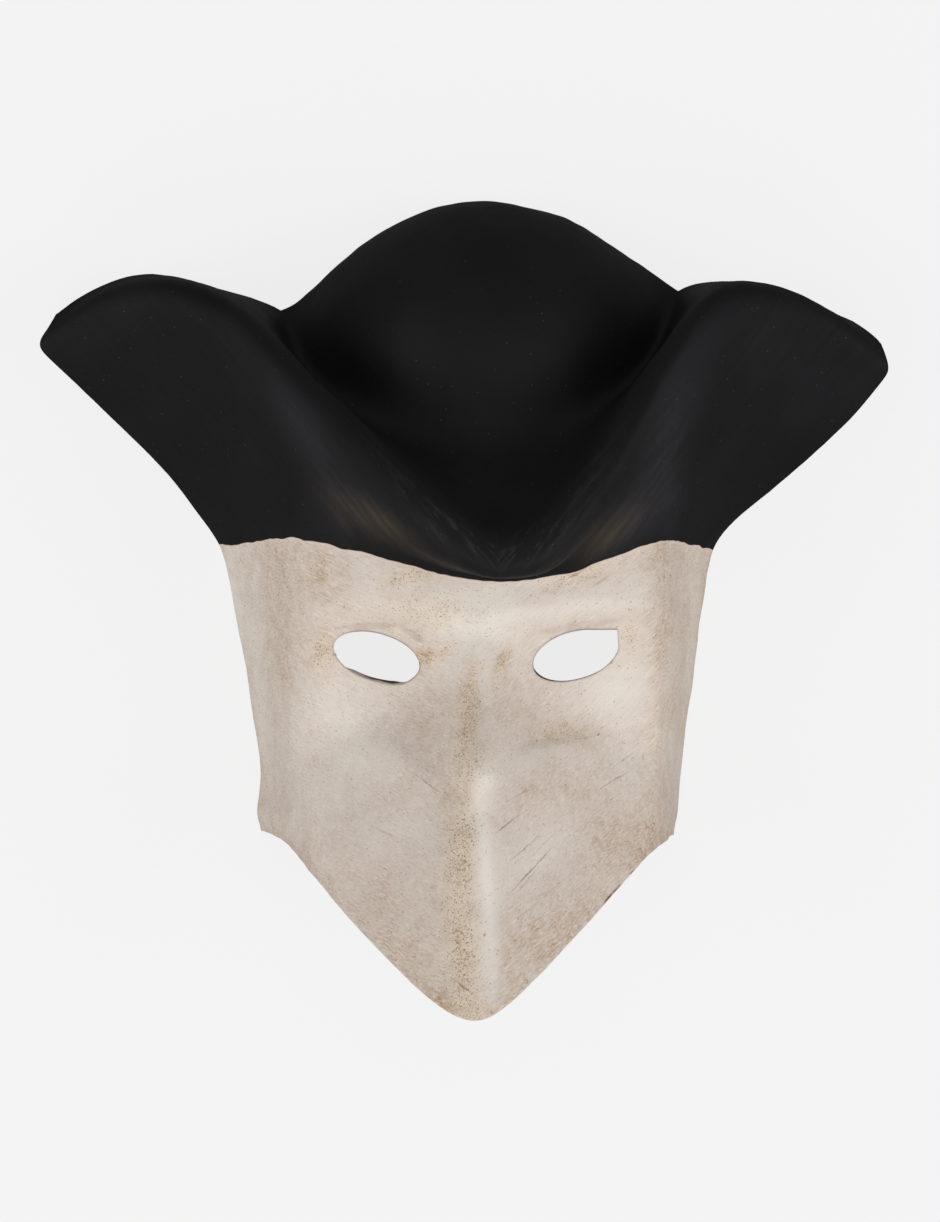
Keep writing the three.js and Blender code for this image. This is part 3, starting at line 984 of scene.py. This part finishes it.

# Single marks, given one by one: middle, length, width, turn in degrees and how dark
scratchesAndShadeLines = [
    ((10.4, -54.3), 10, 0.26, 35.5, 0.6),
    ((17.7, -69.5), 19, 0.26, 44, 0.5),
    ((15.2, -62.8), 12, 0.22, 38, 0.35),
    ((16.2, -82), 4.5, 0.26, 30, 0.45),
    ((16.5, -72.5), 9, 0.2, 47, 0.25),
    ((22.5, -61), 12, 0.2, 41, 0.2),
    ((27, -74), 15, 0.2, 36, 0.2),
    ((46, -41.9), 13, 0.26, 27.7, 0.45),
    ((50, -35), 8, 0.22, 33, 0.3),
    ((13.5, -45.7), 9, 0.3, 24, 0.35),
    ((-16.5, -41.5), 11, 0.3, -34.5, 0.35),
    ((-30, -58), 12, 0.25, -22, 0.25),
    # painted shade lines along the crease beside the nose, with two dots
    ((23.5, -28.2), 10, 0.35, 3, 0.1),
    ((36.5, -27.8), 9, 0.22, 8, 0.2),
    ((40.8, -26.9), 1.2, 0.25, 40, 0.7),
    ((20, -28.4), 0.8, 0.35, 0, 0.5),
    ((33.5, 26.8), 9, 0.4, 29, 0.5),
    ((41, 24), 7, 0.4, 34, 0.4),
    # painted shade lines of the brows above the eyes
    ((34.5, 9.4), 30, 1.5, 9, 0.14),
    ((-36, 9.2), 22, 1.3, 2, 0.2),
    ((-21, 6.5), 12, 1.2, -32, 0.2),
    ((7.6, -1), 3, 0.8, 58, 0.3),
    ((44.6, -79), 10, 0.9, 45, 0.95),
    ((52, -72.3), 3, 0.9, 45, 0.8),
    ((-4.2, -104.4), 6.4, 0.28, -35, 0.6),
    ((-5.6, -105.6), 3, 0.25, -75, 0.45),
    ((2.7, -88.7), 0.9, 0.5, 0, 1),
]

# The front of the crest is rubbed through on both sides of its middle, and dry brush marks of dust run down
# behind it, lightened so that near the middle they also stand for a painted sheen on the lip
crestRub = {"from": 8, "fromRun": 8, "to": 34, "toRun": 20, "strength": 0.5, "before": 2, "wide": 2.5}
dryBrushAndLipSheen = {"to": 52, "toRun": 40, "behind": 7, "wide": 8}
cloudSize = 26
wanderSize = (9, 4)


def patches(points, marks):
    # how strongly each point is marked, from 0 to 1
    clean = np.ones(len(points))
    for (x, y), (across, up), turn, strength in marks:
        turn = math.radians(turn)
        offX, offY = points[:, 0] - x, points[:, 1] - y
        alongX = offX * math.cos(turn) + offY * math.sin(turn)
        alongY = offY * math.cos(turn) - offX * math.sin(turn)
        clean *= 1 - strength * bump(np.hypot(alongX / across, alongY / up))
    return 1 - clean


def wearOf(points, facts):
    marks = {name: patches(points, marks) for name, marks in wear.items()}
    x, past = np.abs(points[:, 0] - hat["front"][0]), facts["crestAway"]
    span = ease((x - crestRub["from"]) / crestRub["fromRun"]) * ease((crestRub["to"] - x) / crestRub["toRun"])
    marks["rubbed"] = crestRub["strength"] * span * bump((past + crestRub["before"]) / crestRub["wide"])
    near = ease((dryBrushAndLipSheen["to"] - x) / dryBrushAndLipSheen["toRun"])
    marks["dryStrokesAndLipSheen"] = near * bump((past - dryBrushAndLipSheen["behind"]) / dryBrushAndLipSheen["wide"])
    marks["cloud"] = swell(points, cloudSize, 7)
    marks["wander"] = swell(points, wanderSize[0], 8) + 0.5 * swell(points, wanderSize[1], 9)
    return marks


def setInFrame(points):
    # from the point between the eyes to the frame's own origin, and never below the table
    return np.maximum(points + frameShift, [-np.inf, -np.inf, 0]) * mm


def buildMask():
    points, faces, maps, facts = makeShell()
    mesh = bpy.data.meshes.new("maskShell")
    mesh.from_pydata(setInFrame(points).tolist(), [], faces.tolist())
    mesh.polygons.foreach_set("use_smooth", np.ones(len(faces), bool))
    layer = mesh.uv_layers.new(name="OFBake")
    layer.uv.foreach_set("vector", maps.reshape(-1).astype(np.float32))
    for name, values in facts.items():
        mesh.attributes.new(name, "FLOAT", "POINT").data.foreach_set("value", values.astype(np.float32))
    # millimetres, for the scale of every pattern
    drawn = mesh.attributes.new("drawnPlace", "FLOAT_VECTOR", "POINT")
    drawn.data.foreach_set("vector", points.astype(np.float32).ravel())
    mesh.update()
    inside = facts["within"][faces].mean(1) > 0.98  # all four corners
    mesh.polygons.foreach_set("material_index", inside.astype(np.int32))
    piece = bpy.data.objects.new("papierMacheMask", mesh)
    bpy.context.scene.collection.objects.link(piece)
    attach(piece, "root")
    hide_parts("mask_shell")
    print("mask:", len(points), "points,", len(faces) * 2, "triangles")
    return piece


mask = buildMask()


# Finishes

def linear(code):
    # an sRGB hex colour as the linear colour that a shader takes
    parts = [int(code[i : i + 2], 16) / 255 for i in (0, 2, 4)]
    return [*(c / 12.92 if c <= 0.04045 else ((c + 0.055) / 1.055) ** 2.4 for c in parts), 1]


def node(tree, kind, settings=None, out=0, **links):
    # adds one node with its settings and what feeds its sockets, by name or by number as in _0, and gives
    # back the output asked for, or several
    made = tree.nodes.new("ShaderNode" + kind)
    for name, value in (settings or {}).items():
        setattr(made, name, value)
    for name, value in links.items():
        if name[0] == "_":
            socket = made.inputs[int(name[1:])]
        else:
            socket = next(i for i in made.inputs if i.name.replace(" ", "") == name)
        if isinstance(value, bpy.types.NodeSocket):
            tree.links.new(value, socket)
        else:
            socket.default_value = value
    return made.outputs[out] if isinstance(out, int) else [made.outputs[i] for i in out]


plus, times, addTo = {"operation": "ADD"}, {"operation": "MULTIPLY"}, {"operation": "MULTIPLY_ADD"}
larger, below, above = {"operation": "MAXIMUM"}, {"operation": "LESS_THAN"}, {"operation": "GREATER_THAN"}
timesHeld = {**times, "use_clamp": True}
howFar = {"operation": "LENGTH"}
colours = {"data_type": "RGBA"}
vectors = {"data_type": "VECTOR"}
gentle = {"interpolation_type": "SMOOTHSTEP"}
inFrame = {"vector_type": "TEXTURE"}
toEdge = {"feature": "DISTANCE_TO_EDGE"}

# Gesso, whiting bound in size, brushed over the paper, rubbed smooth and toned with brown wax. To the eye it
# is a warm off-white that is matt, with the wax left in hollows, pores, cracks and along the rims. Sizes are
# in millimetres.
gesso = {
    "body": "e6dcd2",
    "pale": "f2ece4",
    "wax": "b89d86",
    "ochreWax": "ad8656",
    "ochre": "e8d2b0",
    "grime": "946534",
    "fleck": "744a26",
    "scratch": "82492c",
    "ground": "e2cdbf",  # the pinkish line left bare along the black paint
    "mottle": 5,
    "stroke": (5.5, 0.55),  # brush marks, drawn about twice as coarse as they are so that they show
    "strokeDeep": 1.6,
    "strokeTurn": (-24, 38),  # left and right of the ridge
    "pore": 0.55,  # drawn coarser than the pores are, for the same reason
    "fleckSize": 0.78,
    "crackSize": 1.8,
}


def gessoWaxed(tree, place, fact):
    # gives the colour, roughness and height in millimetres
    mottle = node(tree, "TexNoise", Vector=place, Scale=1 / gesso["mottle"], Detail=3.0, Roughness=0.55)
    across = node(tree, "SeparateXYZ", Vector=place)
    isRight = node(tree, "Math", above, _0=across, _1=0.0)
    lies = []
    size = (*gesso["stroke"], gesso["strokeDeep"])
    for turn in gesso["strokeTurn"]:
        turned = (0, 0, math.radians(turn))
        lies.append(node(tree, "Mapping", inFrame, Vector=place, Rotation=turned, Scale=size))
    lie = node(tree, "Mix", vectors, 1, _0=isRight, _4=lies[0], _5=lies[1])
    sweep, grain = node(tree, "TexNoise", None, (0, 1), Vector=lie, Scale=1.0, Detail=2.0, Roughness=0.6)

    # wax: a thin veil everywhere, more in stains, hollows and along the rims; the marks of stains also lay it
    # on as painted shade along the folds, under the nose tip and on the chin
    rim = node(tree, "MapRange", gentle, Value=fact["rimAway"], FromMin=7.0, FromMax=0.0, ToMax=0.16)
    hollow = node(tree, "MapRange", Value=fact["broadRelief"], FromMin=0.2, FromMax=-1.8, ToMax=0.09)
    veil = node(tree, "MapRange", Value=fact["cloud"], FromMin=-1.0, FromMax=1.0, ToMin=0.11, ToMax=0.22)
    amount = node(tree, "Math", addTo, _0=fact["stainAndShade"], _1=0.6, _2=rim)
    amount = node(tree, "Math", plus, _0=amount, _1=hollow)
    amount = node(tree, "Math", plus, _0=amount, _1=veil)
    patch = node(tree, "MapRange", Value=mottle, FromMin=0.32, FromMax=0.68, ToMin=0.7, ToMax=1.3)
    amount = node(tree, "Math", times, _0=amount, _1=patch)
    brushed = node(tree, "MapRange", Value=sweep, FromMin=0.3, FromMax=0.7, ToMin=0.45, ToMax=1.55)
    amount = node(tree, "Math", timesHeld, _0=amount, _1=brushed)
    # the pale marks, mostly painted light and highlights, hold less wax and lighten the colour below
    rubbed = node(tree, "MapRange", Value=fact["pale"], ToMin=1.0, ToMax=0.25)
    amount = node(tree, "Math", times, _0=amount, _1=rubbed)

    body, pale, wax, ochreWax = (linear(gesso[name]) for name in ("body", "pale", "wax", "ochreWax"))
    colour = node(tree, "Mix", colours, 2, _0=fact["pale"], _6=body, _7=pale)
    wax = node(tree, "Mix", colours, 2, _0=fact["stainAndShade"], _6=wax, _7=ochreWax)
    colour = node(tree, "Mix", colours, 2, _0=amount, _6=colour, _7=wax)
    clean = node(tree, "MapRange", gentle, Value=sweep, FromMin=0.42, FromMax=0.25, ToMax=0.3)
    colour = node(tree, "Mix", colours, 2, _0=clean, _6=colour, _7=pale)
    aged = node(tree, "Math", times, _0=fact["cracked"], _1=0.5)
    colour = node(tree, "Mix", colours, 2, _0=aged, _6=colour, _7=linear(gesso["ochre"]))
    dash = node(tree, "MapRange", gentle, Value=sweep, FromMin=0.5, FromMax=0.7)
    deep = node(tree, "MapRange", gentle, Value=amount, FromMin=0.25, FromMax=1.0, ToMax=0.12)
    deep = node(tree, "Math", times, _0=deep, _1=dash)
    colour = node(tree, "Mix", colours, 2, _0=deep, _6=colour, _7=linear(gesso["grime"]))

    # pores that kept the wax, thick along the ridge and thin elsewhere, and a few larger pits
    bent = node(tree, "VectorMath", addTo, _0=grain, _1=(0.8, 0.8, 0.8), _2=place)
    bent = node(tree, "VectorMath", plus, _0=bent, _1=(-0.4, -0.4, -0.4))
    pores = node(tree, "TexNoise", Vector=bent, Scale=1 / gesso["pore"], Detail=1.0)
    dense = node(tree, "Math", times, _0=fact["cracked"], _1=0.15)
    dense = node(tree, "Math", addTo, _0=amount, _1=0.05, _2=dense)
    pores = node(tree, "Math", plus, _0=pores, _1=dense)
    pores = node(tree, "MapRange", gentle, Value=pores, FromMin=0.66, FromMax=0.8, ToMax=0.75)
    colour = node(tree, "Mix", colours, 2, _0=pores, _6=colour, _7=linear(gesso["grime"]))
    reach, own = node(tree, "TexVoronoi", None, (0, 1), Vector=bent, Scale=1 / gesso["fleckSize"])
    pick, strength, _ = node(tree, "SeparateColor", None, (0, 1, 2), Color=own)
    dense = node(tree, "Math", addTo, _0=fact["cracked"], _1=0.42, _2=0.006)
    dense = node(tree, "Math", addTo, _0=amount, _1=0.1, _2=dense)
    dot = node(tree, "MapRange", gentle, Value=reach, FromMin=0.42, FromMax=0.12)
    chosen = node(tree, "Math", below, _0=pick, _1=dense)
    fleck = node(tree, "Math", times, _0=chosen, _1=dot)
    fleck = node(tree, "Math", times, _0=fleck, _1=strength)
    fleckTint = node(tree, "Math", times, _0=fleck, _1=0.8)
    colour = node(tree, "Mix", colours, 2, _0=fleckTint, _6=colour, _7=linear(gesso["fleck"]))

    # fine cracks, filled with wax
    split = node(tree, "TexVoronoi", toEdge, Vector=bent, Scale=1 / gesso["crackSize"])
    line = node(tree, "MapRange", gentle, Value=split, FromMin=0.1, FromMax=0.0, ToMax=0.55)
    broken = node(tree, "MapRange", gentle, Value=mottle, FromMin=0.42, FromMax=0.6)
    crack = node(tree, "Math", times, _0=line, _1=broken)
    crack = node(tree, "Math", times, _0=crack, _1=fact["cracked"])
    colour = node(tree, "Mix", colours, 2, _0=crack, _6=colour, _7=linear(gesso["grime"]))

    # scratches, and the painted shade lines of the brows and of the crease beside the nose
    scratch = None
    for (x, y), long, wide, turn, dark in scratchesAndShadeLines:
        turned = (0, 0, math.radians(turn))
        size = (long / 2, wide, 1000)  # as deep as the mask, so that depth doesn't count
        lie = node(tree, "Mapping", inFrame, Vector=bent, Location=(x, y, 0), Rotation=turned, Scale=size)
        away = node(tree, "VectorMath", howFar, 1, _0=lie)
        mark = node(tree, "MapRange", gentle, Value=away, FromMin=1.3, FromMax=0.6, ToMax=dark)
        scratch = mark if scratch is None else node(tree, "Math", larger, _0=scratch, _1=mark)
    grimy = node(tree, "MapRange", Value=mottle, FromMin=0.35, FromMax=0.55, ToMin=0.45, ToMax=1.0)
    scratch = node(tree, "Math", times, _0=scratch, _1=grimy)
    colour = node(tree, "Mix", colours, 2, _0=scratch, _6=colour, _7=linear(gesso["scratch"]))

    rough = node(tree, "MapRange", Value=amount, ToMin=0.55, ToMax=0.72)
    height = node(tree, "Math", times, _0=sweep, _1=0.1)
    height = node(tree, "Math", addTo, _0=fleck, _1=-0.1, _2=height)
    height = node(tree, "Math", addTo, _0=scratch, _1=-0.1, _2=height)
    return colour, rough, height


# Black casein paint, brushed on thin and rubbed by handling. To the eye it is a flat black with a soft grey
# sheen where it bends, which along the crests is painted sheen in its colour, browner where the gesso shines
# through along the crests, and it shows every grain of dust.
blackPaint = {
    "body": "0b0b0c",
    "thin": "100f12",
    # the grey of the painted sheen
    "paintedSheen": "3a373c",
    "rubbed": "574a38",
    "dust": "8f8a86",
    "brush": (22, 1.5),  # the marks of a broad soft brush, in millimetres
    "brushDeep": 6,
    "brushTurn": (-52, 52),  # left and right of the middle
    "dustSize": 2.0,  # between grains, which are drawn larger than dust so that they show
    "lineUneven": 0.28,
}


def blackCasein(tree, place, fact):
    # gives the colour, roughness and height in millimetres
    across = node(tree, "SeparateXYZ", Vector=place)
    isRight = node(tree, "Math", above, _0=across, _1=hat["front"][0])
    lies = []
    for turn in blackPaint["brushTurn"]:
        turned = (0, 0, math.radians(turn))
        size = (*blackPaint["brush"], blackPaint["brushDeep"])
        lies.append(node(tree, "Mapping", inFrame, Vector=place, Rotation=turned, Scale=size))
    lie = node(tree, "Mix", vectors, 1, _0=isRight, _4=lies[0], _5=lies[1])
    sweep = node(tree, "TexNoise", Vector=lie, Scale=1.0, Detail=3.0, Roughness=0.65)
    thin = node(tree, "MapRange", gentle, Value=fact["cloud"], FromMin=-0.6, FromMax=1.0)
    body, thinner = linear(blackPaint["body"]), linear(blackPaint["thin"])
    colour = node(tree, "Mix", colours, 2, _0=thin, _6=body, _7=thinner)
    streak = node(tree, "MapRange", gentle, Value=sweep, FromMin=0.35, FromMax=0.72)
    # a grey painted sheen on the side of the crests towards the face, and browner at the front where the
    # gesso shows through
    front = node(tree, "MapRange", gentle, Value=fact["crestAway"], FromMin=-0.5, FromMax=-10.0)
    sheenAndWearBand = node(tree, "Math", addTo, _0=streak, _1=0.3, _2=0.3)
    sheenAndWearBand = node(tree, "Math", times, _0=sheenAndWearBand, _1=front)
    grey = node(tree, "Math", times, _0=sheenAndWearBand, _1=fact["paintedSheen"])
    colour = node(tree, "Mix", colours, 2, _0=grey, _6=colour, _7=linear(blackPaint["paintedSheen"]))
    brown = node(tree, "Math", larger, _0=fact["worn"], _1=fact["rubbed"])
    brown = node(tree, "Math", times, _0=brown, _1=sheenAndWearBand)
    colour = node(tree, "Mix", colours, 2, _0=brown, _6=colour, _7=linear(blackPaint["rubbed"]))
    # dust-grey dry brush marks behind the crest, lightened as painted sheen on the lip
    dry = node(tree, "MapRange", gentle, Value=sweep, FromMin=0.45, FromMax=0.75, ToMin=0.03, ToMax=0.13)
    dry = node(tree, "Math", times, _0=dry, _1=fact["dryStrokesAndLipSheen"])
    colour = node(tree, "Mix", colours, 2, _0=dry, _6=colour, _7=linear(blackPaint["dust"]))
    near, own = node(tree, "TexVoronoi", None, (0, 1), Vector=place, Scale=1 / blackPaint["dustSize"])
    pick, strength, _ = node(tree, "SeparateColor", None, (0, 1, 2), Color=own)
    grain = node(tree, "MapRange", gentle, Value=near, FromMin=0.13, FromMax=0.05, ToMax=0.3)
    chosen = node(tree, "Math", below, _0=pick, _1=0.35)
    grain = node(tree, "Math", times, _0=grain, _1=chosen)
    grain = node(tree, "Math", times, _0=grain, _1=strength)
    colour = node(tree, "Mix", colours, 2, _0=grain, _6=colour, _7=linear(blackPaint["dust"]))
    # the crown was brushed out smoother than the brim
    plain = node(tree, "MapRange", gentle, Value=fact["crestAway"], FromMin=30.0, FromMax=4.0, ToMin=0.15)
    relief = node(tree, "Math", times, _0=sweep, _1=plain)
    rough = node(tree, "Math", addTo, _0=relief, _1=0.2, _2=0.64)
    height = node(tree, "Math", times, _0=relief, _1=0.02)
    return colour, rough, height


# Bare papier-mache: torn strips of grey-buff rag paper laid in paste, one over another. To the eye it is dull
# and fibrous, a patchwork of near tones with a paler feathered edge round each strip.
rawPaper = {
    "pale": "bdb19c",
    "dark": "9b8f79",
    "torn": "c9bfab",
    "cut": "5c4a38",
    "strip": (46, 19),  # millimetres, as hand-torn
    "wander": 16,
    "stripTurn": (24, -58),
    "fibre": (2.4, 0.5),  # drawn coarser than rag fibre is, so that it shows
    "fibreTurn": 0.4,
}


def paintedOutside():
    material = bpy.data.materials.new("paintedGessoAndCasein")
    material.use_nodes = True
    tree = material.node_tree
    shader = tree.nodes["Principled BSDF"]
    place = node(tree, "Attribute", {"attribute_name": "drawnPlace"}, 1)
    names = ["hatReach", "crestAway", "broadRelief", "rimAway", "within", "bareEdge"]
    names += [*wear, "rubbed", "dryStrokesAndLipSheen", "cloud", "wander"]
    fact = {name: node(tree, "Attribute", {"attribute_name": name}, 2) for name in names}

    light = gessoWaxed(tree, place, fact)
    black = blackCasein(tree, place, fact)

    # the hand-painted line between face and hat
    reach = node(tree, "Math", addTo, _0=fact["wander"], _1=blackPaint["lineUneven"], _2=fact["hatReach"])
    isHat = node(tree, "MapRange", gentle, Value=reach, FromMin=-0.15, FromMax=0.15)
    bare = node(tree, "MapRange", gentle, Value=reach, FromMin=-1.1, FromMax=-0.3, ToMax=0.6)
    ground = node(tree, "Mix", colours, 2, _0=bare, _6=light[0], _7=linear(gesso["ground"]))
    colour = node(tree, "Mix", colours, 2, _0=isHat, _6=ground, _7=black[0])
    rough = node(tree, "Mix", Factor=isHat, _2=light[1], _3=black[1])
    height = node(tree, "Mix", Factor=isHat, _2=light[2], _3=black[2])

    # paint laps over the cut edge and stops there
    inward = node(tree, "Math", addTo, _0=fact["wander"], _1=0.15, _2=fact["within"])
    isCut = node(tree, "MapRange", gentle, Value=inward, FromMin=0.35, FromMax=0.5)
    isCut = node(tree, "Math", times, _0=isCut, _1=fact["bareEdge"])
    colour = node(tree, "Mix", colours, 2, _0=isCut, _6=colour, _7=linear(rawPaper["cut"]))
    rough = node(tree, "Mix", Factor=isCut, _2=rough, _3=0.9)

    tree.links.new(colour, shader.inputs["Base Color"])
    tree.links.new(rough, shader.inputs["Roughness"])
    tree.links.new(node(tree, "Bump", Strength=1.0, Distance=mm, Height=height), shader.inputs["Normal"])
    shader.inputs["IOR"].default_value = 1.5
    shader.inputs["Specular IOR Level"].default_value = 0.2
    print("outside:", len(tree.nodes), "nodes")
    return material


def bareInside():
    material = bpy.data.materials.new("barePapierMache")
    material.use_nodes = True
    tree = material.node_tree
    shader = tree.nodes["Principled BSDF"]
    place = node(tree, "Attribute", {"attribute_name": "drawnPlace"}, 1)
    # torn, not cut: the strips' sides wander by a few millimetres
    size = 1 / rawPaper["wander"]
    stray = node(tree, "TexNoise", None, 1, Vector=place, Scale=size, Detail=3.0, Roughness=0.6)
    bent = node(tree, "VectorMath", addTo, _0=stray, _1=(9, 9, 9), _2=place)
    tone, height, edge = None, None, None
    for turn in rawPaper["stripTurn"]:
        turned = (0, 0, math.radians(turn))
        size = (*rawPaper["strip"], 40)
        lie = node(tree, "Mapping", inFrame, Vector=bent, Rotation=turned, Scale=size)
        cell = node(tree, "TexVoronoi", None, 1, Vector=lie, Scale=1.0)
        own = node(tree, "SeparateColor", Color=cell)
        side = node(tree, "TexVoronoi", toEdge, Vector=lie, Scale=1.0)
        torn = node(tree, "MapRange", gentle, Value=side, FromMin=0.05, FromMax=0.0, ToMax=0.4)
        tone = own if tone is None else node(tree, "Mix", Factor=0.45, _2=tone, _3=own)
        edge = torn if edge is None else node(tree, "Math", larger, _0=edge, _1=torn)
        step = node(tree, "MapRange", gentle, Value=side, FromMin=0.0, FromMax=0.04, ToMin=-0.12, ToMax=0.0)
        step = node(tree, "Math", addTo, _0=own, _1=0.25, _2=step)
        height = step if height is None else node(tree, "Math", plus, _0=height, _1=step)
    turned = (0, 0, rawPaper["fibreTurn"])
    size = (*rawPaper["fibre"], 1.5)
    lie = node(tree, "Mapping", inFrame, Vector=bent, Rotation=turned, Scale=size)
    fibre = node(tree, "TexNoise", Vector=lie, Scale=1.0, Detail=3.0, Roughness=0.7)
    tone = node(tree, "Mix", Factor=0.35, _2=tone, _3=fibre)
    colour = node(tree, "Mix", colours, 2, _0=tone, _6=linear(rawPaper["dark"]), _7=linear(rawPaper["pale"]))
    colour = node(tree, "Mix", colours, 2, _0=edge, _6=colour, _7=linear(rawPaper["torn"]))
    height = node(tree, "Math", addTo, _0=fibre, _1=0.12, _2=height)
    tree.links.new(colour, shader.inputs["Base Color"])
    tree.links.new(node(tree, "Bump", Strength=1.0, Distance=mm, Height=height), shader.inputs["Normal"])
    shader.inputs["Roughness"].default_value = 0.92
    shader.inputs["Specular IOR Level"].default_value = 0.15
    print("inside:", len(tree.nodes), "nodes")
    return material


mask.data.materials.append(paintedOutside())
mask.data.materials.append(bareInside())


# A pale table that glows a little, four softboxes and an even room. Places and sizes are in metres.
table = {"wide": 24, "colour": "585858", "glow": 0.81}
softboxes = {
    "frontSoftbox": {"place": (0, -1.1, 1.2), "aim": (0, 0, 0.05), "size": (1.5, 0.9), "power": 5.1},
    "topSoftbox": {"place": (0, 0, 2.0), "aim": (0, 0, 0), "size": (1.2, 1.2), "power": 2.2},
    "leftSoftbox": {"place": (-1.1, -0.15, 0.62), "aim": (0, 0, 0.05), "size": (0.5, 0.9), "power": 5.7},
    "rightSoftbox": {"place": (1.1, -0.15, 0.66), "aim": (0, 0, 0.05), "size": (0.5, 0.9), "power": 6.5},
}
room = {"colour": "ffffff", "below": 0.2, "above": 0.42, "turn": 0.35}


def makeTable():
    bpy.ops.mesh.primitive_plane_add(size=table["wide"], location=(0, 0, 0))
    floor = bpy.context.object
    floor.name = "floor"
    material = bpy.data.materials.new("paleFloor")
    material.use_nodes = True
    shader = material.node_tree.nodes["Principled BSDF"]
    shader.inputs["Base Color"].default_value = linear(table["colour"])
    shader.inputs["Roughness"].default_value = 1
    shader.inputs["Specular IOR Level"].default_value = 0
    shader.inputs["Emission Color"].default_value = linear("ffffff")
    shader.inputs["Emission Strength"].default_value = table["glow"]
    floor.data.materials.append(material)
    floor.visible_diffuse = False
    floor.visible_glossy = False


def makeSoftbox(name, box):
    light = bpy.data.lights.new(name, "AREA")
    light.shape = "RECTANGLE"
    light.size, light.size_y = box["size"]
    light.energy = box["power"]
    lamp = bpy.data.objects.new(name, light)
    lamp.location = box["place"]
    way = Vector(box["aim"]) - Vector(box["place"])
    lamp.rotation_euler = way.to_track_quat("-Z", "Y").to_euler()
    bpy.context.scene.collection.objects.link(lamp)


def makeRoom():
    # pale above the table and darker below it
    world = bpy.data.worlds.new("studio")
    bpy.context.scene.world = world
    world.use_nodes = True
    tree = world.node_tree
    up = node(tree, "SeparateXYZ", None, 2, Vector=node(tree, "TexCoord"))
    span = {"FromMin": -room["turn"], "FromMax": room["turn"], "ToMin": room["below"], "ToMax": room["above"]}
    glow = node(tree, "MapRange", gentle, Value=up, **span)
    tree.links.new(glow, tree.nodes["Background"].inputs["Strength"])
    tree.nodes["Background"].inputs["Color"].default_value = linear(room["colour"])


makeTable()
for name, box in softboxes.items():
    makeSoftbox(name, box)
makeRoom()
print("studio:", len(softboxes), "softboxes")

# The camera looks straight down, as the photograph looks at the mask front on. On the plane through the
# cheeks the picture has 3,000 pixels to the metre.
viewpoint = {
    "place": (0.00138, -0.00637, 1.4),
    "sensor": 36,
    "planeAway": 1.34,
    "high": 1222,
    "perMetre": 3000,
}


def makeCamera():
    view = bpy.data.cameras.new("camera")
    view.sensor_fit = "VERTICAL"
    view.sensor_height = viewpoint["sensor"]
    view.lens = viewpoint["sensor"] * viewpoint["planeAway"] / (viewpoint["high"] / viewpoint["perMetre"])
    view.clip_start = 0.05
    camera = bpy.data.objects.new("camera", view)
    camera.location = viewpoint["place"]
    bpy.context.scene.collection.objects.link(camera)
    bpy.context.scene.camera = camera
    print("camera:", round(view.lens), "mm lens")


makeCamera()

bpy.context.scene.view_settings.view_transform = "Standard"
